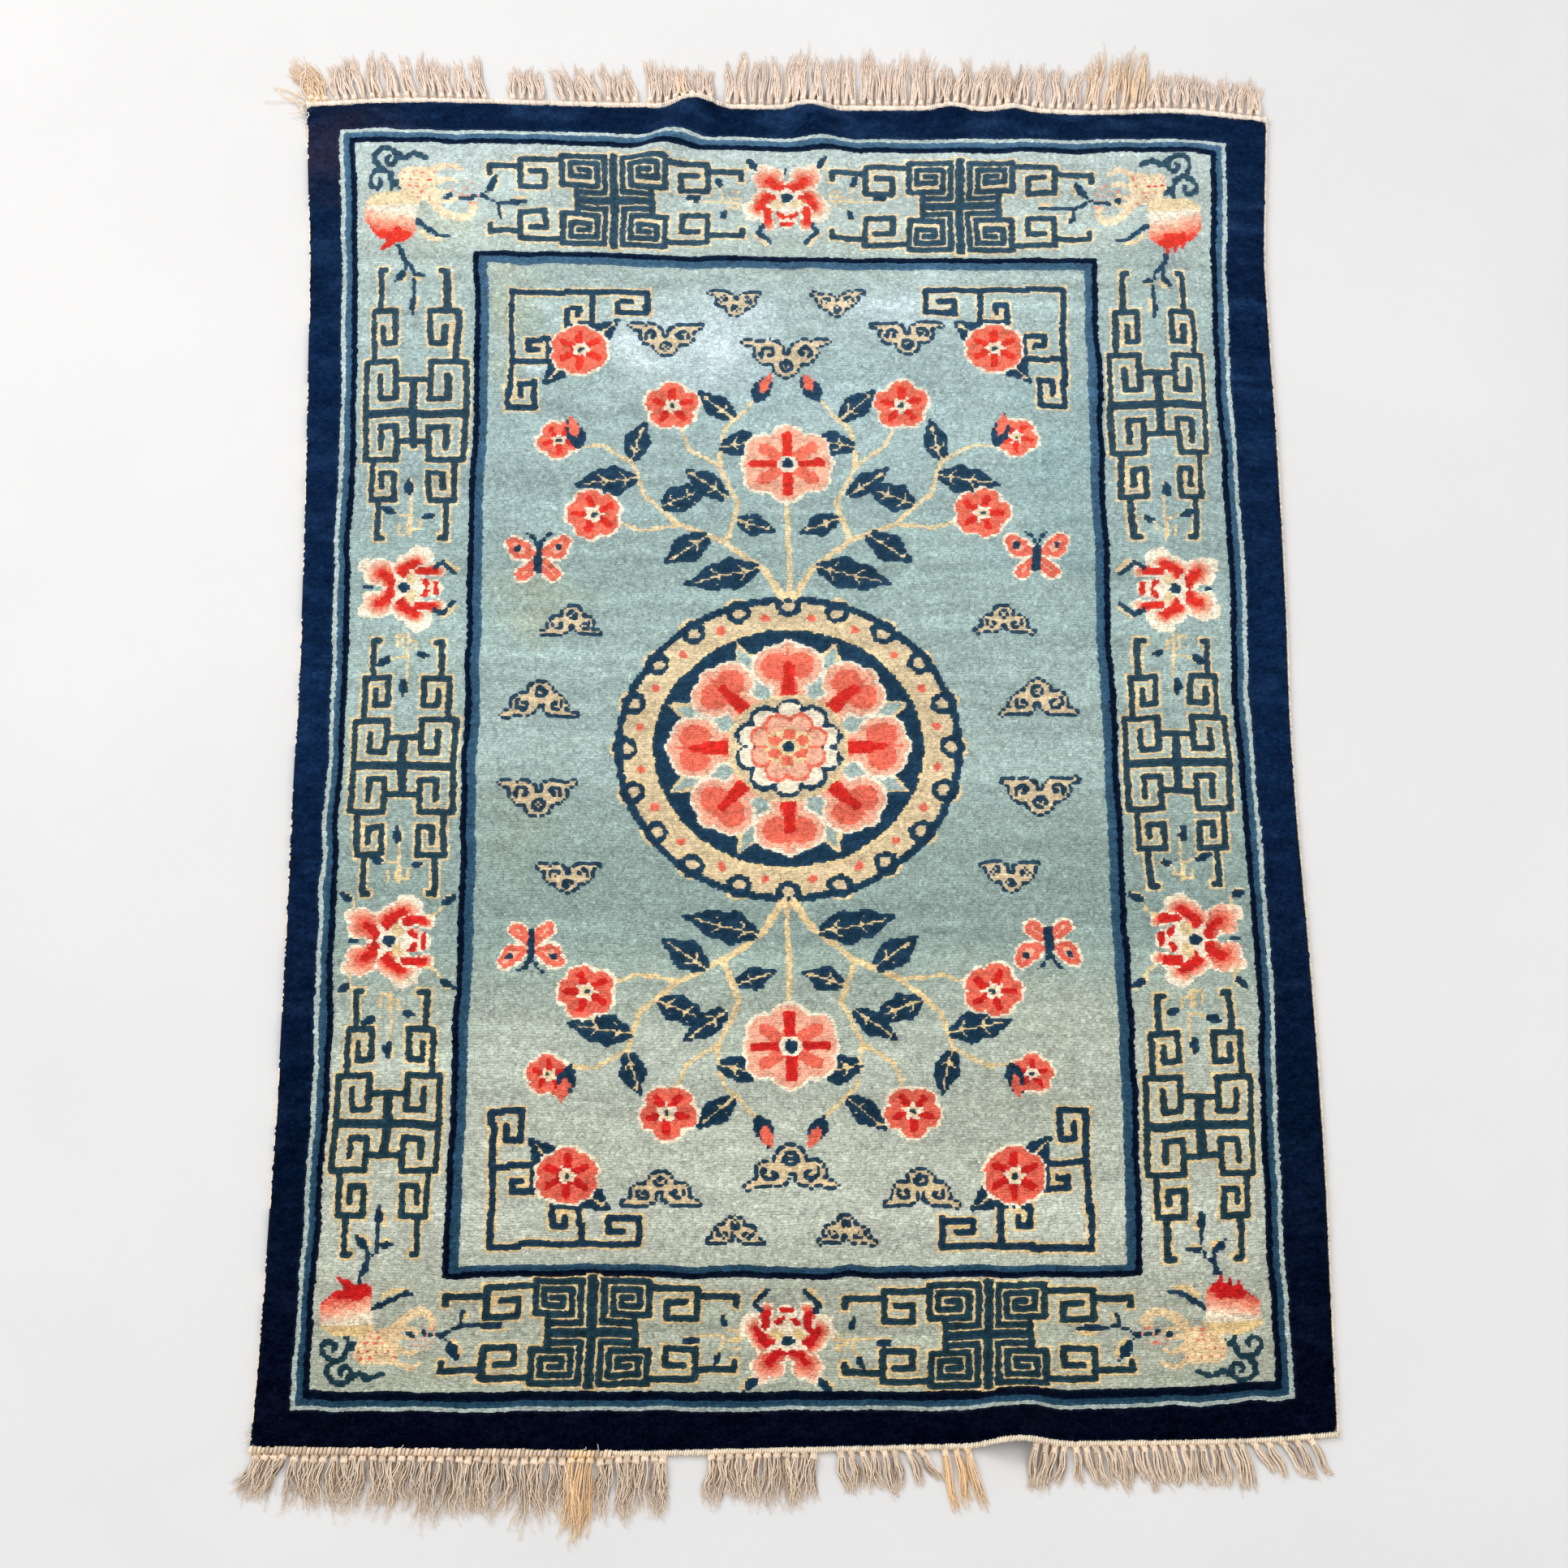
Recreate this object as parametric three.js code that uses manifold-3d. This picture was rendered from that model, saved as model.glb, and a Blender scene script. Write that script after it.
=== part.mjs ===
import * as THREE from 'three';
import { mergeVertices } from 'three/addons/utils/BufferGeometryUtils.js';
import Module from 'manifold-3d';

// A hand-knotted wool rug with an overcast cord along each side and a bound,
// knotted fringe at each end. It lies on the floor, flat but for a few ripples.
// Millimetres. X runs across the rug, +Y to its far end and +Z up.
// The origin is on the floor at the middle of the rug.

const RUG_WIDTH = 1220;
const RUG_LENGTH = 1800;
const RUG_THICKNESS = 10;
const PIECE_GAP = 0.3;

// The pile leans back at the rim and the corners are slightly round.
const RIM_INSET = 4;
const RIM_DROP = 2.5;
const CORNER_RADIUS = 6;

// How far each edge stands out from the plain rectangle, at places along it.
const LEFT_EDGE = [
  { at: -900, out: 1 },
  { at: -750, out: -6 },
  { at: -585, out: -11 },
  { at: -400, out: -15 },
  { at: -150, out: -17 },
  { at: 120, out: -20 },
  { at: 300, out: -19 },
  { at: 500, out: -16 },
  { at: 650, out: -13 },
  { at: 800, out: -6 },
  { at: 900, out: -1 },
];
const RIGHT_EDGE = [
  { at: -900, out: 1 },
  { at: -750, out: 1 },
  { at: -590, out: 2 },
  { at: -420, out: 0 },
  { at: -240, out: -5 },
  { at: -100, out: -10 },
  { at: 20, out: -12 },
  { at: 200, out: -10 },
  { at: 400, out: -11 },
  { at: 590, out: -14 },
  { at: 690, out: -15 },
  { at: 790, out: -10 },
  { at: 900, out: -4 },
];
const NEAR_EDGE = [
  { at: -610, out: 6 },
  { at: -500, out: 8 },
  { at: -300, out: 11 },
  { at: -170, out: 13 },
  { at: 0, out: 10 },
  { at: 160, out: 7 },
  { at: 320, out: 4 },
  { at: 450, out: 3 },
  { at: 540, out: 0 },
  { at: 610, out: -6 },
];
const FAR_EDGE = [
  { at: -610, out: 18 },
  { at: -500, out: 24 },
  { at: -390, out: 22 },
  { at: -240, out: 16 },
  { at: -80, out: 12 },
  { at: 50, out: 9 },
  { at: 280, out: 6 },
  { at: 380, out: 0 },
  { at: 500, out: 2 },
  { at: 610, out: -12 },
];

// Ripples that run in from an end. Each meets its end at x, slants sideways by
// slant for each millimetre inward, and dies away over its run.
const RIPPLES = [
  { end: 1, x: -118, slant: -0.62, halfWidth: 48, height: 25, run: 170 },
  { end: 1, x: 29, slant: 0.33, halfWidth: 44, height: 14, run: 130 },
  { end: 1, x: 210, slant: 0.1, halfWidth: 36, height: 10, run: 60 },
  { end: 1, x: 290, slant: 0.1, halfWidth: 34, height: 8, run: 60 },
  { end: -1, x: 251, slant: -0.05, halfWidth: 62, height: 22, run: 140 },
];

// An old fold line across the left part of the rug.
const CREASES = [
  { y: 346, halfWidth: 26, height: 5, reach: 250 },
];

// Sections of the woven body: grid lines across and along the rug.
const COARSE_COLUMN = 130;
const FINE_COLUMN = 20;
const COARSE_ROW = 180;
const FINE_ROW = 24;
const FINE_COLUMNS = [
  { from: -232, to: 330 },
];
const FINE_ROWS = [
  { from: -900, to: -760 },
  { from: 318, to: 374 },
  { from: 730, to: 900 },
];

// The overcast cords along the sides and the bindings across the ends, lower than
// the pile that they stand against.
const SELVAGE_WIDTH = 3.5;
const SELVAGE_HEIGHT = 6.5;
const BINDING_WIDTH = 8;
const BINDING_HEIGHT = 7;

// Their section, as shares of its width and height: how high its outer side goes up,
// where its crest is and how high it meets the body.
const OUTER_SIDE = 0.55;
const CREST_PLACE = 0.55;
const INNER_SIDE = 0.7;

// Fringe locks, from left to right along each end. Length is measured from the
// binding and lean in degrees to the right of straight out.
const NEAR_LOCKS = [
  { from: -604, to: -574, count: 4, length: 58, lean: -20 },
  { from: -562, to: -420, count: 14, length: 66, lean: -6 },
  { from: -409, to: -262, count: 15, length: 76, lean: -5 },
  { from: -251, to: -230, count: 3, length: 88, lean: -3 },
  { from: -219, to: -148, count: 8, length: 72, lean: -2 },
  { from: -94, to: 22, count: 12, length: 62, lean: -4 },
  { from: 51, to: 112, count: 6, length: 52, lean: 13 },
  { from: 126, to: 140, count: 2, length: 50, lean: 26 },
  { from: 168, to: 194, count: 3, length: 72, lean: 8 },
  { from: 272, to: 304, count: 4, length: 52, lean: -10 },
  { from: 316, to: 502, count: 18, length: 50, lean: 12 },
  { from: 516, to: 580, count: 5, length: 44, lean: 30 },
];
const FAR_LOCKS = [
  { from: -606, to: -588, count: 3, length: 58, lean: -24 },
  { from: -574, to: -385, count: 18, length: 50, lean: -11 },
  { from: -350, to: -314, count: 4, length: 40, lean: -9 },
  { from: -284, to: -192, count: 9, length: 44, lean: -13 },
  { from: -174, to: -98, count: 8, length: 50, lean: -4 },
  { from: -76, to: 182, count: 25, length: 60, lean: 2 },
  { from: 193, to: 371, count: 17, length: 54, lean: 5 },
  { from: 382, to: 452, count: 7, length: 66, lean: 8 },
  { from: 463, to: 602, count: 13, length: 42, lean: 3 },
];

// A lock's form, from its root in the binding, over its knot, to its tip.
// Place is a share of the lock's length.
const LOCK_SECTIONS = [
  { place: 0, halfWidth: 1.8, height: 3.6 },
  { place: 0.17, halfWidth: 3.4, height: 6 },
  { place: 0.55, halfWidth: 3.7, height: 4.4 },
  { place: 1, halfWidth: 1.9, height: 1.6 },
];
const ROOT_DEPTH = 2.5;
const LENGTH_SPREAD = 0.14;
const LEAN_SPREAD = 3;
// A root that starts up on a ripple has come down to the floor by this share.
const DROP_SHARE = 0.5;

// Factors of the sine that scatters the locks.
const SCATTER_STEP = 12.9898;
const SCATTER_SCALE = 43758.5453;

// Colours.
const PILE_AQUA = 0x6b8f98;
const SELVAGE_CREAM = 0xe2d5bd;
const FRINGE_COTTON = 0xcbb8a4;
const WOOL_ROUGHNESS = 0.9;
const COTTON_ROUGHNESS = 0.85;

const wasm = await Module();
wasm.setup();

// Smooth curve through a table's rows, level beyond its two ends.
function edgeOut(rows, place) {
  const last = rows.length - 1;
  if (place <= rows[0].at) return rows[0].out;
  if (place >= rows[last].at) return rows[last].out;
  let i = 0;
  while (rows[i + 1].at < place) {
    i += 1;
  }
  const span = rows[i + 1].at - rows[i].at;
  const t = (place - rows[i].at) / span;
  const slope = (k) => {
    const before = rows[Math.max(k - 1, 0)];
    const after = rows[Math.min(k + 1, last)];
    return (after.out - before.out) / (after.at - before.at);
  };
  const t2 = t * t;
  const t3 = t2 * t;
  return (2 * t3 - 3 * t2 + 1) * rows[i].out
    + (t3 - 2 * t2 + t) * span * slope(i)
    + (3 * t2 - 2 * t3) * rows[i + 1].out
    + (t3 - t2) * span * slope(i + 1);
}

// Rounds the plain rectangle's corners.
function roundCorner(x, y) {
  const a = Math.abs(x) - (RUG_WIDTH / 2 - CORNER_RADIUS);
  const b = Math.abs(y) - (RUG_LENGTH / 2 - CORNER_RADIUS);
  if (a <= 0 || b <= 0) return [x, y];
  const shrink = 1 - Math.max(a, b) / Math.hypot(a, b);
  return [x - Math.sign(x) * a * shrink, y - Math.sign(y) * b * shrink];
}

// Where a point of the plain rectangle lies on the floor.
function placeOnFloor(x, y) {
  const u = x / RUG_WIDTH + 0.5;
  const v = y / RUG_LENGTH + 0.5;
  return [
    x - (1 - u) * edgeOut(LEFT_EDGE, y) + u * edgeOut(RIGHT_EDGE, y),
    y - (1 - v) * edgeOut(NEAR_EDGE, x) + v * edgeOut(FAR_EDGE, x),
  ];
}

// A bell of height 1 over the middle, level with nothing at its two feet.
function bell(distance, halfWidth) {
  if (Math.abs(distance) >= halfWidth) return 0;
  return 0.5 + 0.5 * Math.cos((Math.PI * distance) / halfWidth);
}

// How high the underside of the rug is held off the floor.
function lift(plainX, plainY) {
  let height = 0;
  for (const ripple of RIPPLES) {
    const inward = RUG_LENGTH / 2 - ripple.end * plainY;
    if (inward < ripple.run) {
      const crest = ripple.x + ripple.slant * inward;
      const fade = bell(inward, ripple.run);
      height += ripple.height * fade * bell(plainX - crest, ripple.halfWidth);
    }
  }
  for (const crease of CREASES) {
    const inward = plainX + RUG_WIDTH / 2;
    const fade = bell(inward, crease.reach);
    height += crease.height * fade * bell(plainY - crease.y, crease.halfWidth);
  }
  return height;
}

// Grid lines from edge to edge, close together in the fine stretches, with the
// rim's and the corners' own lines at both ends.
function gridLines(halfSize, coarse, fine, stretches) {
  const ends = [halfSize, halfSize - RIM_INSET, halfSize - CORNER_RADIUS];
  const lines = new Set(ends.flatMap((end) => [end, -end]));
  const inner = halfSize - CORNER_RADIUS;
  const limits = [-inner];
  for (const stretch of stretches) {
    limits.push(Math.max(stretch.from, -inner), Math.min(stretch.to, inner));
  }
  limits.push(inner);
  for (let i = 0; i + 1 < limits.length; i += 1) {
    const pitch = i % 2 === 1 ? fine : coarse;
    const length = limits[i + 1] - limits[i];
    const steps = Math.max(1, Math.round(length / pitch));
    for (let k = 0; k <= steps; k += 1) {
      lines.add(Math.round((limits[i] + (length * k) / steps) * 10) / 10);
    }
  }
  return [...lines].sort((a, b) => a - b);
}

const COLUMN_LINES = gridLines(RUG_WIDTH / 2, COARSE_COLUMN, FINE_COLUMN, FINE_COLUMNS);
const ROW_LINES = gridLines(RUG_LENGTH / 2, COARSE_ROW, FINE_ROW, FINE_ROWS);

function geometryFrom(positions, triangles) {
  const geometry = new THREE.BufferGeometry();
  geometry.setAttribute('position', new THREE.Float32BufferAttribute(positions, 3));
  geometry.setIndex(triangles);
  return geometry;
}

// The woven body: a top sheet, an underside and a wall around the edge.
function rugBody() {
  const columns = COLUMN_LINES.length;
  const rows = ROW_LINES.length;
  const positions = [];
  const triangles = [];
  for (const isTop of [true, false]) {
    for (let j = 0; j < rows; j += 1) {
      for (let i = 0; i < columns; i += 1) {
        const plainX = COLUMN_LINES[i];
        const plainY = ROW_LINES[j];
        const [x, y] = placeOnFloor(...roundCorner(plainX, plainY));
        const onRim = i === 0 || j === 0 || i === columns - 1 || j === rows - 1;
        const thickness = RUG_THICKNESS - (onRim ? RIM_DROP : 0);
        positions.push(x, y, lift(plainX, plainY) + (isTop ? thickness : 0));
      }
    }
  }
  const under = columns * rows;
  const quad = (a, b, c, d) => triangles.push(a, b, c, a, c, d);
  for (let j = 0; j + 1 < rows; j += 1) {
    for (let i = 0; i + 1 < columns; i += 1) {
      const k = j * columns + i;
      quad(k, k + 1, k + 1 + columns, k + columns);
      quad(under + k, under + k + columns, under + k + 1 + columns, under + k + 1);
    }
  }
  const rim = [];
  for (let i = 0; i < columns; i += 1) {
    rim.push(i);
  }
  for (let j = 1; j < rows; j += 1) {
    rim.push(j * columns + columns - 1);
  }
  for (let i = columns - 2; i >= 0; i -= 1) {
    rim.push((rows - 1) * columns + i);
  }
  for (let j = rows - 2; j > 0; j -= 1) {
    rim.push(j * columns);
  }
  for (let k = 0; k < rim.length; k += 1) {
    const a = rim[k];
    const b = rim[(k + 1) % rim.length];
    quad(under + a, under + b, b, a);
  }
  return geometryFrom(positions, triangles);
}

// A closed bar: one ring of points for each station, joined and capped.
// Each ring turns left about the way the bar runs.
function barFromRings(rings) {
  const sides = rings[0].length;
  const positions = rings.flat(2);
  const triangles = [];
  for (let k = 0; k + 1 < rings.length; k += 1) {
    for (let s = 0; s < sides; s += 1) {
      const a = k * sides + s;
      const b = k * sides + ((s + 1) % sides);
      triangles.push(a, b, b + sides, a, b + sides, a + sides);
    }
  }
  const end = (rings.length - 1) * sides;
  for (let s = 1; s + 1 < sides; s += 1) {
    triangles.push(0, s + 1, s, end, end + s, end + s + 1);
  }
  return geometryFrom(positions, triangles);
}

// Half-round section of a sewn edge: distances out from the body and heights.
function edgeSection(width, height) {
  return [
    [PIECE_GAP, 0],
    [PIECE_GAP + width, 0],
    [PIECE_GAP + width, height * OUTER_SIDE],
    [PIECE_GAP + width * CREST_PLACE, height],
    [PIECE_GAP, height * INNER_SIDE],
  ];
}

// An overcast cord along one side, from one end binding to the other.
function selvage(side) {
  const section = edgeSection(SELVAGE_WIDTH, SELVAGE_HEIGHT);
  const rings = ROW_LINES.map((plainY) => {
    const [x, y] = placeOnFloor(side * RUG_WIDTH / 2, plainY);
    const z = lift(side * RUG_WIDTH / 2, plainY);
    const ring = section.map(([out, height]) => [x + side * out, y, z + height]);
    return side > 0 ? ring.reverse() : ring;
  });
  return barFromRings(rings);
}

const toSolid = (geometry) => {
  const merged = mergeVertices(geometry, 1e-4);
  return new wasm.Manifold(new wasm.Mesh({
    numProp: 3,
    vertProperties: new Float32Array(merged.attributes.position.array),
    triVerts: new Uint32Array(merged.index.array),
  }));
};

// A repeatable number from -1 to 1 for each lock.
const unevenness = (seed) => {
  const wave = Math.sin(seed * SCATTER_STEP) * SCATTER_SCALE;
  return 2 * (wave - Math.floor(wave)) - 1;
};

// The bindings are as wide as the rug with its cords.
const BINDING_REACH = RUG_WIDTH / 2 + SELVAGE_WIDTH;
const BINDING_LINES = [-BINDING_REACH, ...COLUMN_LINES, BINDING_REACH];

// The rug's bound end at one line: its place on the floor and its lift.
const endPoint = (end, plainX) => [
  ...placeOnFloor(plainX, end * RUG_LENGTH / 2),
  lift(plainX, end * RUG_LENGTH / 2),
];

// The same anywhere along the straight runs between the lines.
function alongEnd(end, plainX) {
  const next = BINDING_LINES.findIndex((line) => line > plainX);
  const from = BINDING_LINES[next - 1];
  const share = (plainX - from) / (BINDING_LINES[next] - from);
  const a = endPoint(end, from);
  const b = endPoint(end, BINDING_LINES[next]);
  return a.map((value, axis) => value + (b[axis] - value) * share);
}

// One lock: three-sided, flat below, resting on the floor along its length.
function lock(end, rootX, length, lean) {
  const [x, edgeY, rootLift] = alongEnd(end, rootX);
  const rootY = edgeY + end * (PIECE_GAP + BINDING_WIDTH - ROOT_DEPTH);
  const angle = THREE.MathUtils.degToRad(lean);
  const along = [Math.sin(angle), end * Math.cos(angle)];
  const across = [along[1], -along[0]];
  const rings = LOCK_SECTIONS.map(({ place, halfWidth, height }) => {
    const reach = place * (length + ROOT_DEPTH);
    const centre = [x + along[0] * reach, rootY + along[1] * reach];
    const base = rootLift * Math.max(0, 1 - place / DROP_SHARE);
    return [
      [centre[0] - across[0] * halfWidth, centre[1] - across[1] * halfWidth, base],
      [centre[0] + across[0] * halfWidth, centre[1] + across[1] * halfWidth, base],
      [centre[0], centre[1], base + height],
    ];
  });
  return barFromRings(rings.map((ring) => ring.reverse()));
}

// The binding of one end with every lock's root fused into it.
function boundFringe(end, groups) {
  const section = edgeSection(BINDING_WIDTH, BINDING_HEIGHT);
  const rings = BINDING_LINES.map((plainX) => {
    const [x, y, z] = endPoint(end, plainX);
    const ring = section.map(([out, height]) => [x, y + end * out, z + height]);
    return end > 0 ? ring : ring.reverse();
  });
  let solid = toSolid(barFromRings(rings));
  let seed = end > 0 ? 500 : 1;
  for (const row of groups) {
    for (let k = 0; k < row.count; k += 1) {
      seed += 1;
      const share = k / (row.count - 1);
      const rootX = row.from + (row.to - row.from) * share;
      const length = row.length * (1 + LENGTH_SPREAD * unevenness(seed));
      const lean = row.lean + LEAN_SPREAD * unevenness(seed + 0.5);
      solid = solid.add(toSolid(lock(end, rootX, length, lean)));
    }
  }
  const mesh = solid.getMesh();
  return geometryFrom([...mesh.vertProperties], [...mesh.triVerts]);
}

const cloth = (colour, roughness) => new THREE.MeshStandardMaterial({
  color: colour,
  roughness,
  metalness: 0,
});

const group = new THREE.Group();

function addPiece(name, geometry, material) {
  const mesh = new THREE.Mesh(geometry, material);
  mesh.name = name;
  group.add(mesh);
}

addPiece('rug_body', rugBody(), cloth(PILE_AQUA, WOOL_ROUGHNESS));
addPiece('selvage_left', selvage(-1), cloth(SELVAGE_CREAM, COTTON_ROUGHNESS));
addPiece('selvage_right', selvage(1), cloth(SELVAGE_CREAM, COTTON_ROUGHNESS));
addPiece('fringe_near', boundFringe(-1, NEAR_LOCKS), cloth(FRINGE_COTTON, COTTON_ROUGHNESS));
addPiece('fringe_far', boundFringe(1, FAR_LOCKS), cloth(FRINGE_COTTON, COTTON_ROUGHNESS));

export default group;
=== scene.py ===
import math

import bpy
import numpy as np
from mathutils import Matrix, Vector


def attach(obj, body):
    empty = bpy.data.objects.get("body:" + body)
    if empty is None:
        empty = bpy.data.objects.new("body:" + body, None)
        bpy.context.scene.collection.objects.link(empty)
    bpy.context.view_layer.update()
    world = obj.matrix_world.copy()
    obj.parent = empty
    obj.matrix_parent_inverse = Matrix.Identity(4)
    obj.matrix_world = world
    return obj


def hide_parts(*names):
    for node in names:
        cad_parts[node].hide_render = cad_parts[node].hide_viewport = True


# The look of a hand-knotted wool rug on its frame. Sizes are in millimetres, and each
# mesh is scaled to metres as it is made. X runs across the rug, Y to its far end, Z up.

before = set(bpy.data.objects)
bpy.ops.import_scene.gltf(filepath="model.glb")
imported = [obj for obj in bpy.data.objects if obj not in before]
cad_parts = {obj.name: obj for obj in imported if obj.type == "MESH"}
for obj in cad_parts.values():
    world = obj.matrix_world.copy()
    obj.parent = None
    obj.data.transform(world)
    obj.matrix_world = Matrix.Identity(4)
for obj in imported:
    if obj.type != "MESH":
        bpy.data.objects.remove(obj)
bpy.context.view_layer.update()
MM = 0.001

# The rug as its frame has it.
RUG_WIDTH = 1220
RUG_LENGTH = 1800
RUG_THICKNESS = 10
PIECE_GAP = 0.3
RIM_INSET = 4
RIM_DROP = 2.5
CORNER_RADIUS = 6
SELVAGE_WIDTH = 3.5
SELVAGE_HEIGHT = 6.5
BINDING_WIDTH = 8
BINDING_HEIGHT = 7

# How far each edge stands out from the plain rectangle: (place along it, out).
LEFT_EDGE = [
    (-900, 1), (-750, -6), (-585, -11), (-400, -15), (-150, -17), (120, -20),
    (300, -19), (500, -16), (650, -13), (800, -6), (900, -1),
]
RIGHT_EDGE = [
    (-900, 1), (-750, 1), (-590, 2), (-420, 0), (-240, -5), (-100, -10), (20, -12),
    (200, -10), (400, -11), (590, -14), (690, -15), (790, -10), (900, -4),
]
NEAR_EDGE = [
    (-610, 6), (-500, 8), (-300, 11), (-170, 13), (0, 10), (160, 7), (320, 4),
    (450, 3), (540, 0), (610, -6),
]
FAR_EDGE = [
    (-610, 18), (-500, 24), (-390, 22), (-240, 16), (-80, 12), (50, 9), (280, 6),
    (380, 0), (500, 2), (610, -12),
]

# Ripples that run in from an end: (end, x, slant, half width, height, run).
RIPPLES = [
    (1, -118, -0.62, 48, 25, 170),
    (1, 29, 0.33, 44, 14, 130),
    (1, 210, 0.1, 36, 10, 60),
    (1, 290, 0.1, 34, 8, 60),
    (-1, 251, -0.05, 62, 22, 140),
]
# An old fold line across the left part: (y, half width, height, reach).
CREASES = [(346, 26, 5, 250)]

# Fringe locks: (from, to, count, length, lean, share of orange yarn, looseness).
NEAR_LOCKS = [
    (-604, -574, 4, 58, -20, 0, 0.8), (-562, -420, 14, 66, -6, 0, 1),
    (-409, -262, 15, 76, -5, 0, 1), (-251, -230, 3, 88, -3, 1, 0.6),
    (-219, -148, 8, 72, -2, 0, 1), (-94, 22, 12, 62, -4, 0, 0.7),
    (51, 112, 6, 52, 13, 0, 0.4), (126, 140, 2, 50, 26, 0, 0.3),
    (168, 194, 3, 72, 8, 0.9, 0.3), (272, 304, 4, 52, -10, 0, 0.4),
    (316, 502, 18, 50, 12, 0, 0.2), (516, 580, 5, 44, 30, 0, 0.1),
]
FAR_LOCKS = [
    (-606, -588, 3, 58, -24, 0.9, 1), (-574, -385, 18, 50, -11, 0, 0.3),
    (-350, -314, 4, 40, -9, 0, 0.3), (-284, -192, 9, 44, -13, 0, 0.3),
    (-174, -98, 8, 50, -4, 0, 0.3), (-76, 182, 25, 60, 2, 0, 0.3),
    (193, 371, 17, 54, 5, 0.02, 0.4), (382, 452, 7, 66, 8, 0.6, 0.4),
    (463, 602, 13, 42, 3, 0.04, 0.4),
]
# A single orange lock at the far end.
ORANGE_LOCK = -130

# The near end is looped over in soiled cotton from the left as far as here, with a
# mended stretch in it.
LOOPED_TO = -205
MENDED = (-253, -228)
# How wide and high the looped turns are, and the turns at the far end.
LOOPED_SIZE = (11.5, 9)
FAR_SIZE = (9.5, 9)

# Frayed threads: (x, y, z, length, bearing, curl, yarn, radius). The last of the near
# ones are lint on the looped end.
LINT_Y = -916
NEAR_THREADS = [
    (-612, -890, 4, 13, 150, 30, "cream", 0.5), (-612, -890, 4, 14, 250, 10, "cream", 0.9),
    (-612, -891, 5, 13, 35, 20, "cream", 0.5), (-613, -889, 5, 11, 75, -30, "cream", 0.6),
    (-611, -893, 4, 10, 175, -50, "cotton", 0.5), (-607, -893, 9, 9, 20, 50, "cream", 0.5),
    (-604, -845, 8, 10, 60, 60, "cream", 0.6), (-606, -838, 8, 9, 10, 70, "cream", 0.6),
    (-453, LINT_Y, 10.4, 7, 200, 40, "cream", 0.4), (-449, LINT_Y, 10.4, 10, 15, 30, "cream", 0.4),
    (-239, LINT_Y, 10.4, 6, 30, 40, "cream", 0.4), (-221, LINT_Y, 10.4, 7, 110, 60, "cream", 0.4),
]
FAR_THREADS = [
    (-609, 920, 5, 48, 125, 25, "orange", 1.1), (-606, 922, 4, 56, 105, 60, "orange", 1.1),
    (-602, 921, 4, 60, 80, 90, "orange", 1.0), (-600, 921, 3, 44, 95, 20, "orange", 1.1),
    (-598, 922, 3, 50, 84, -40, "orange", 0.8), (-604, 922, 5, 62, 118, 40, "cotton", 0.9),
    (-607, 921, 4, 60, 128, 25, "cotton", 0.9), (-609, 919, 4, 58, 132, 20, "cotton", 0.8),
    (-614, 908, 5, 26, 140, -70, "cream", 0.9), (-613, 906, 6, 28, 120, -50, "cream", 1.0),
    (-615, 903, 4, 24, 160, -60, "cream", 0.8), (-612, 914, 7, 22, 170, -90, "cream", 1.0),
    (-608, 914, 8, 18, -80, 30, "cream", 0.8), (-605, 913, 9, 17, -100, -20, "cream", 0.8),
    (-611, 912, 8, 19, -60, 20, "cream", 0.8), (-617, 899, 3, 20, -50, -20, "cream", 0.7),
    (-620, 905, 2, 22, -75, 40, "cream", 0.7),
]
THREAD_STEPS = 12

# The knots of the pile.
KNOTS_ACROSS = 360
KNOTS_ALONG = 540

# Stripes from the edges to the field, in knots: (left, right, near, far, wool).
STRIPES = [
    (0, 0, 0, 0, "navy"),
    (10, 13, 12, 12, "stripe light"),
    (12, 15, 14, 14, "stripe mid"),
    (14, 17, 16, 16, "stripe dark"),
    (16, 19, 19, 18, "border ground"),
    (60, 63, 61, 66, "stripe dark"),
    (62, 65, 63, 68, "stripe mid"),
    (65, 68, 65, 71, "field"),
]
BORDER_STRIPE = 4
FIELD_STRIPE = 7
# Where a side's straying starts, holds and has faded away, in knots from the edge.
SIDE_SPAN = (3, 9, 20, 30)
INNER_SPAN = (50, 57, 68, 78)
END_SPAN = (3, 9, 66, 84)
# How far the border's woven lines stray from straight: (side, span, rows), each row
# being (place along the side, stray).
STRAYS = [
    ("left", SIDE_SPAN, [
        (-860, 5), (-800, 2), (-700, 2), (-540, 3), (-380, 2), (-290, 0.5), (-120, 1.5), (60, 2.5),
        (150, 1), (240, 0), (340, 3), (430, 4.3), (700, 3.4), (800, 3.5),
    ]),
    ("right", SIDE_SPAN, [
        (-800, 0), (-720, -5), (-630, -6.5), (-460, -4.5), (-370, -1), (-290, 1), (-200, -1),
        (-120, 1), (-30, 0), (60, -5), (150, -3.5), (240, -3), (330, -5.5), (600, -6), (710, -1.5),
        (800, -3.5),
    ]),
    ("near", END_SPAN, [
        (-540, -1), (-460, 0), (-390, -2), (-320, 1.5), (-240, 3), (-170, 2.5), (-100, 1), (-24, 0),
        (50, -2.5), (123, -3.5), (200, -4.5), (270, -5.5), (415, -5), (490, -2), (560, 0.5),
    ]),
    ("far", END_SPAN, [
        (-560, 2), (-470, -1), (-390, -2), (-310, 1), (-230, 0), (-146, -3), (14, -3), (174, -4.5),
        (254, -3), (334, 0),
    ]),
    ("left", INNER_SPAN, [
        (-700, -3.5), (-550, -3), (-380, -1.5), (-200, 1), (0, 0.5), (200, -1), (330, 0), (430, 3.5),
        (560, 6), (680, 5),
    ]),
    ("right", INNER_SPAN, [
        (-640, -1), (-200, -1), (-30, 2), (60, 0), (110, -4.5), (240, -3.5), (340, -5), (430, -2.5),
        (560, -1.5), (680, 2),
    ]),
]

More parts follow.
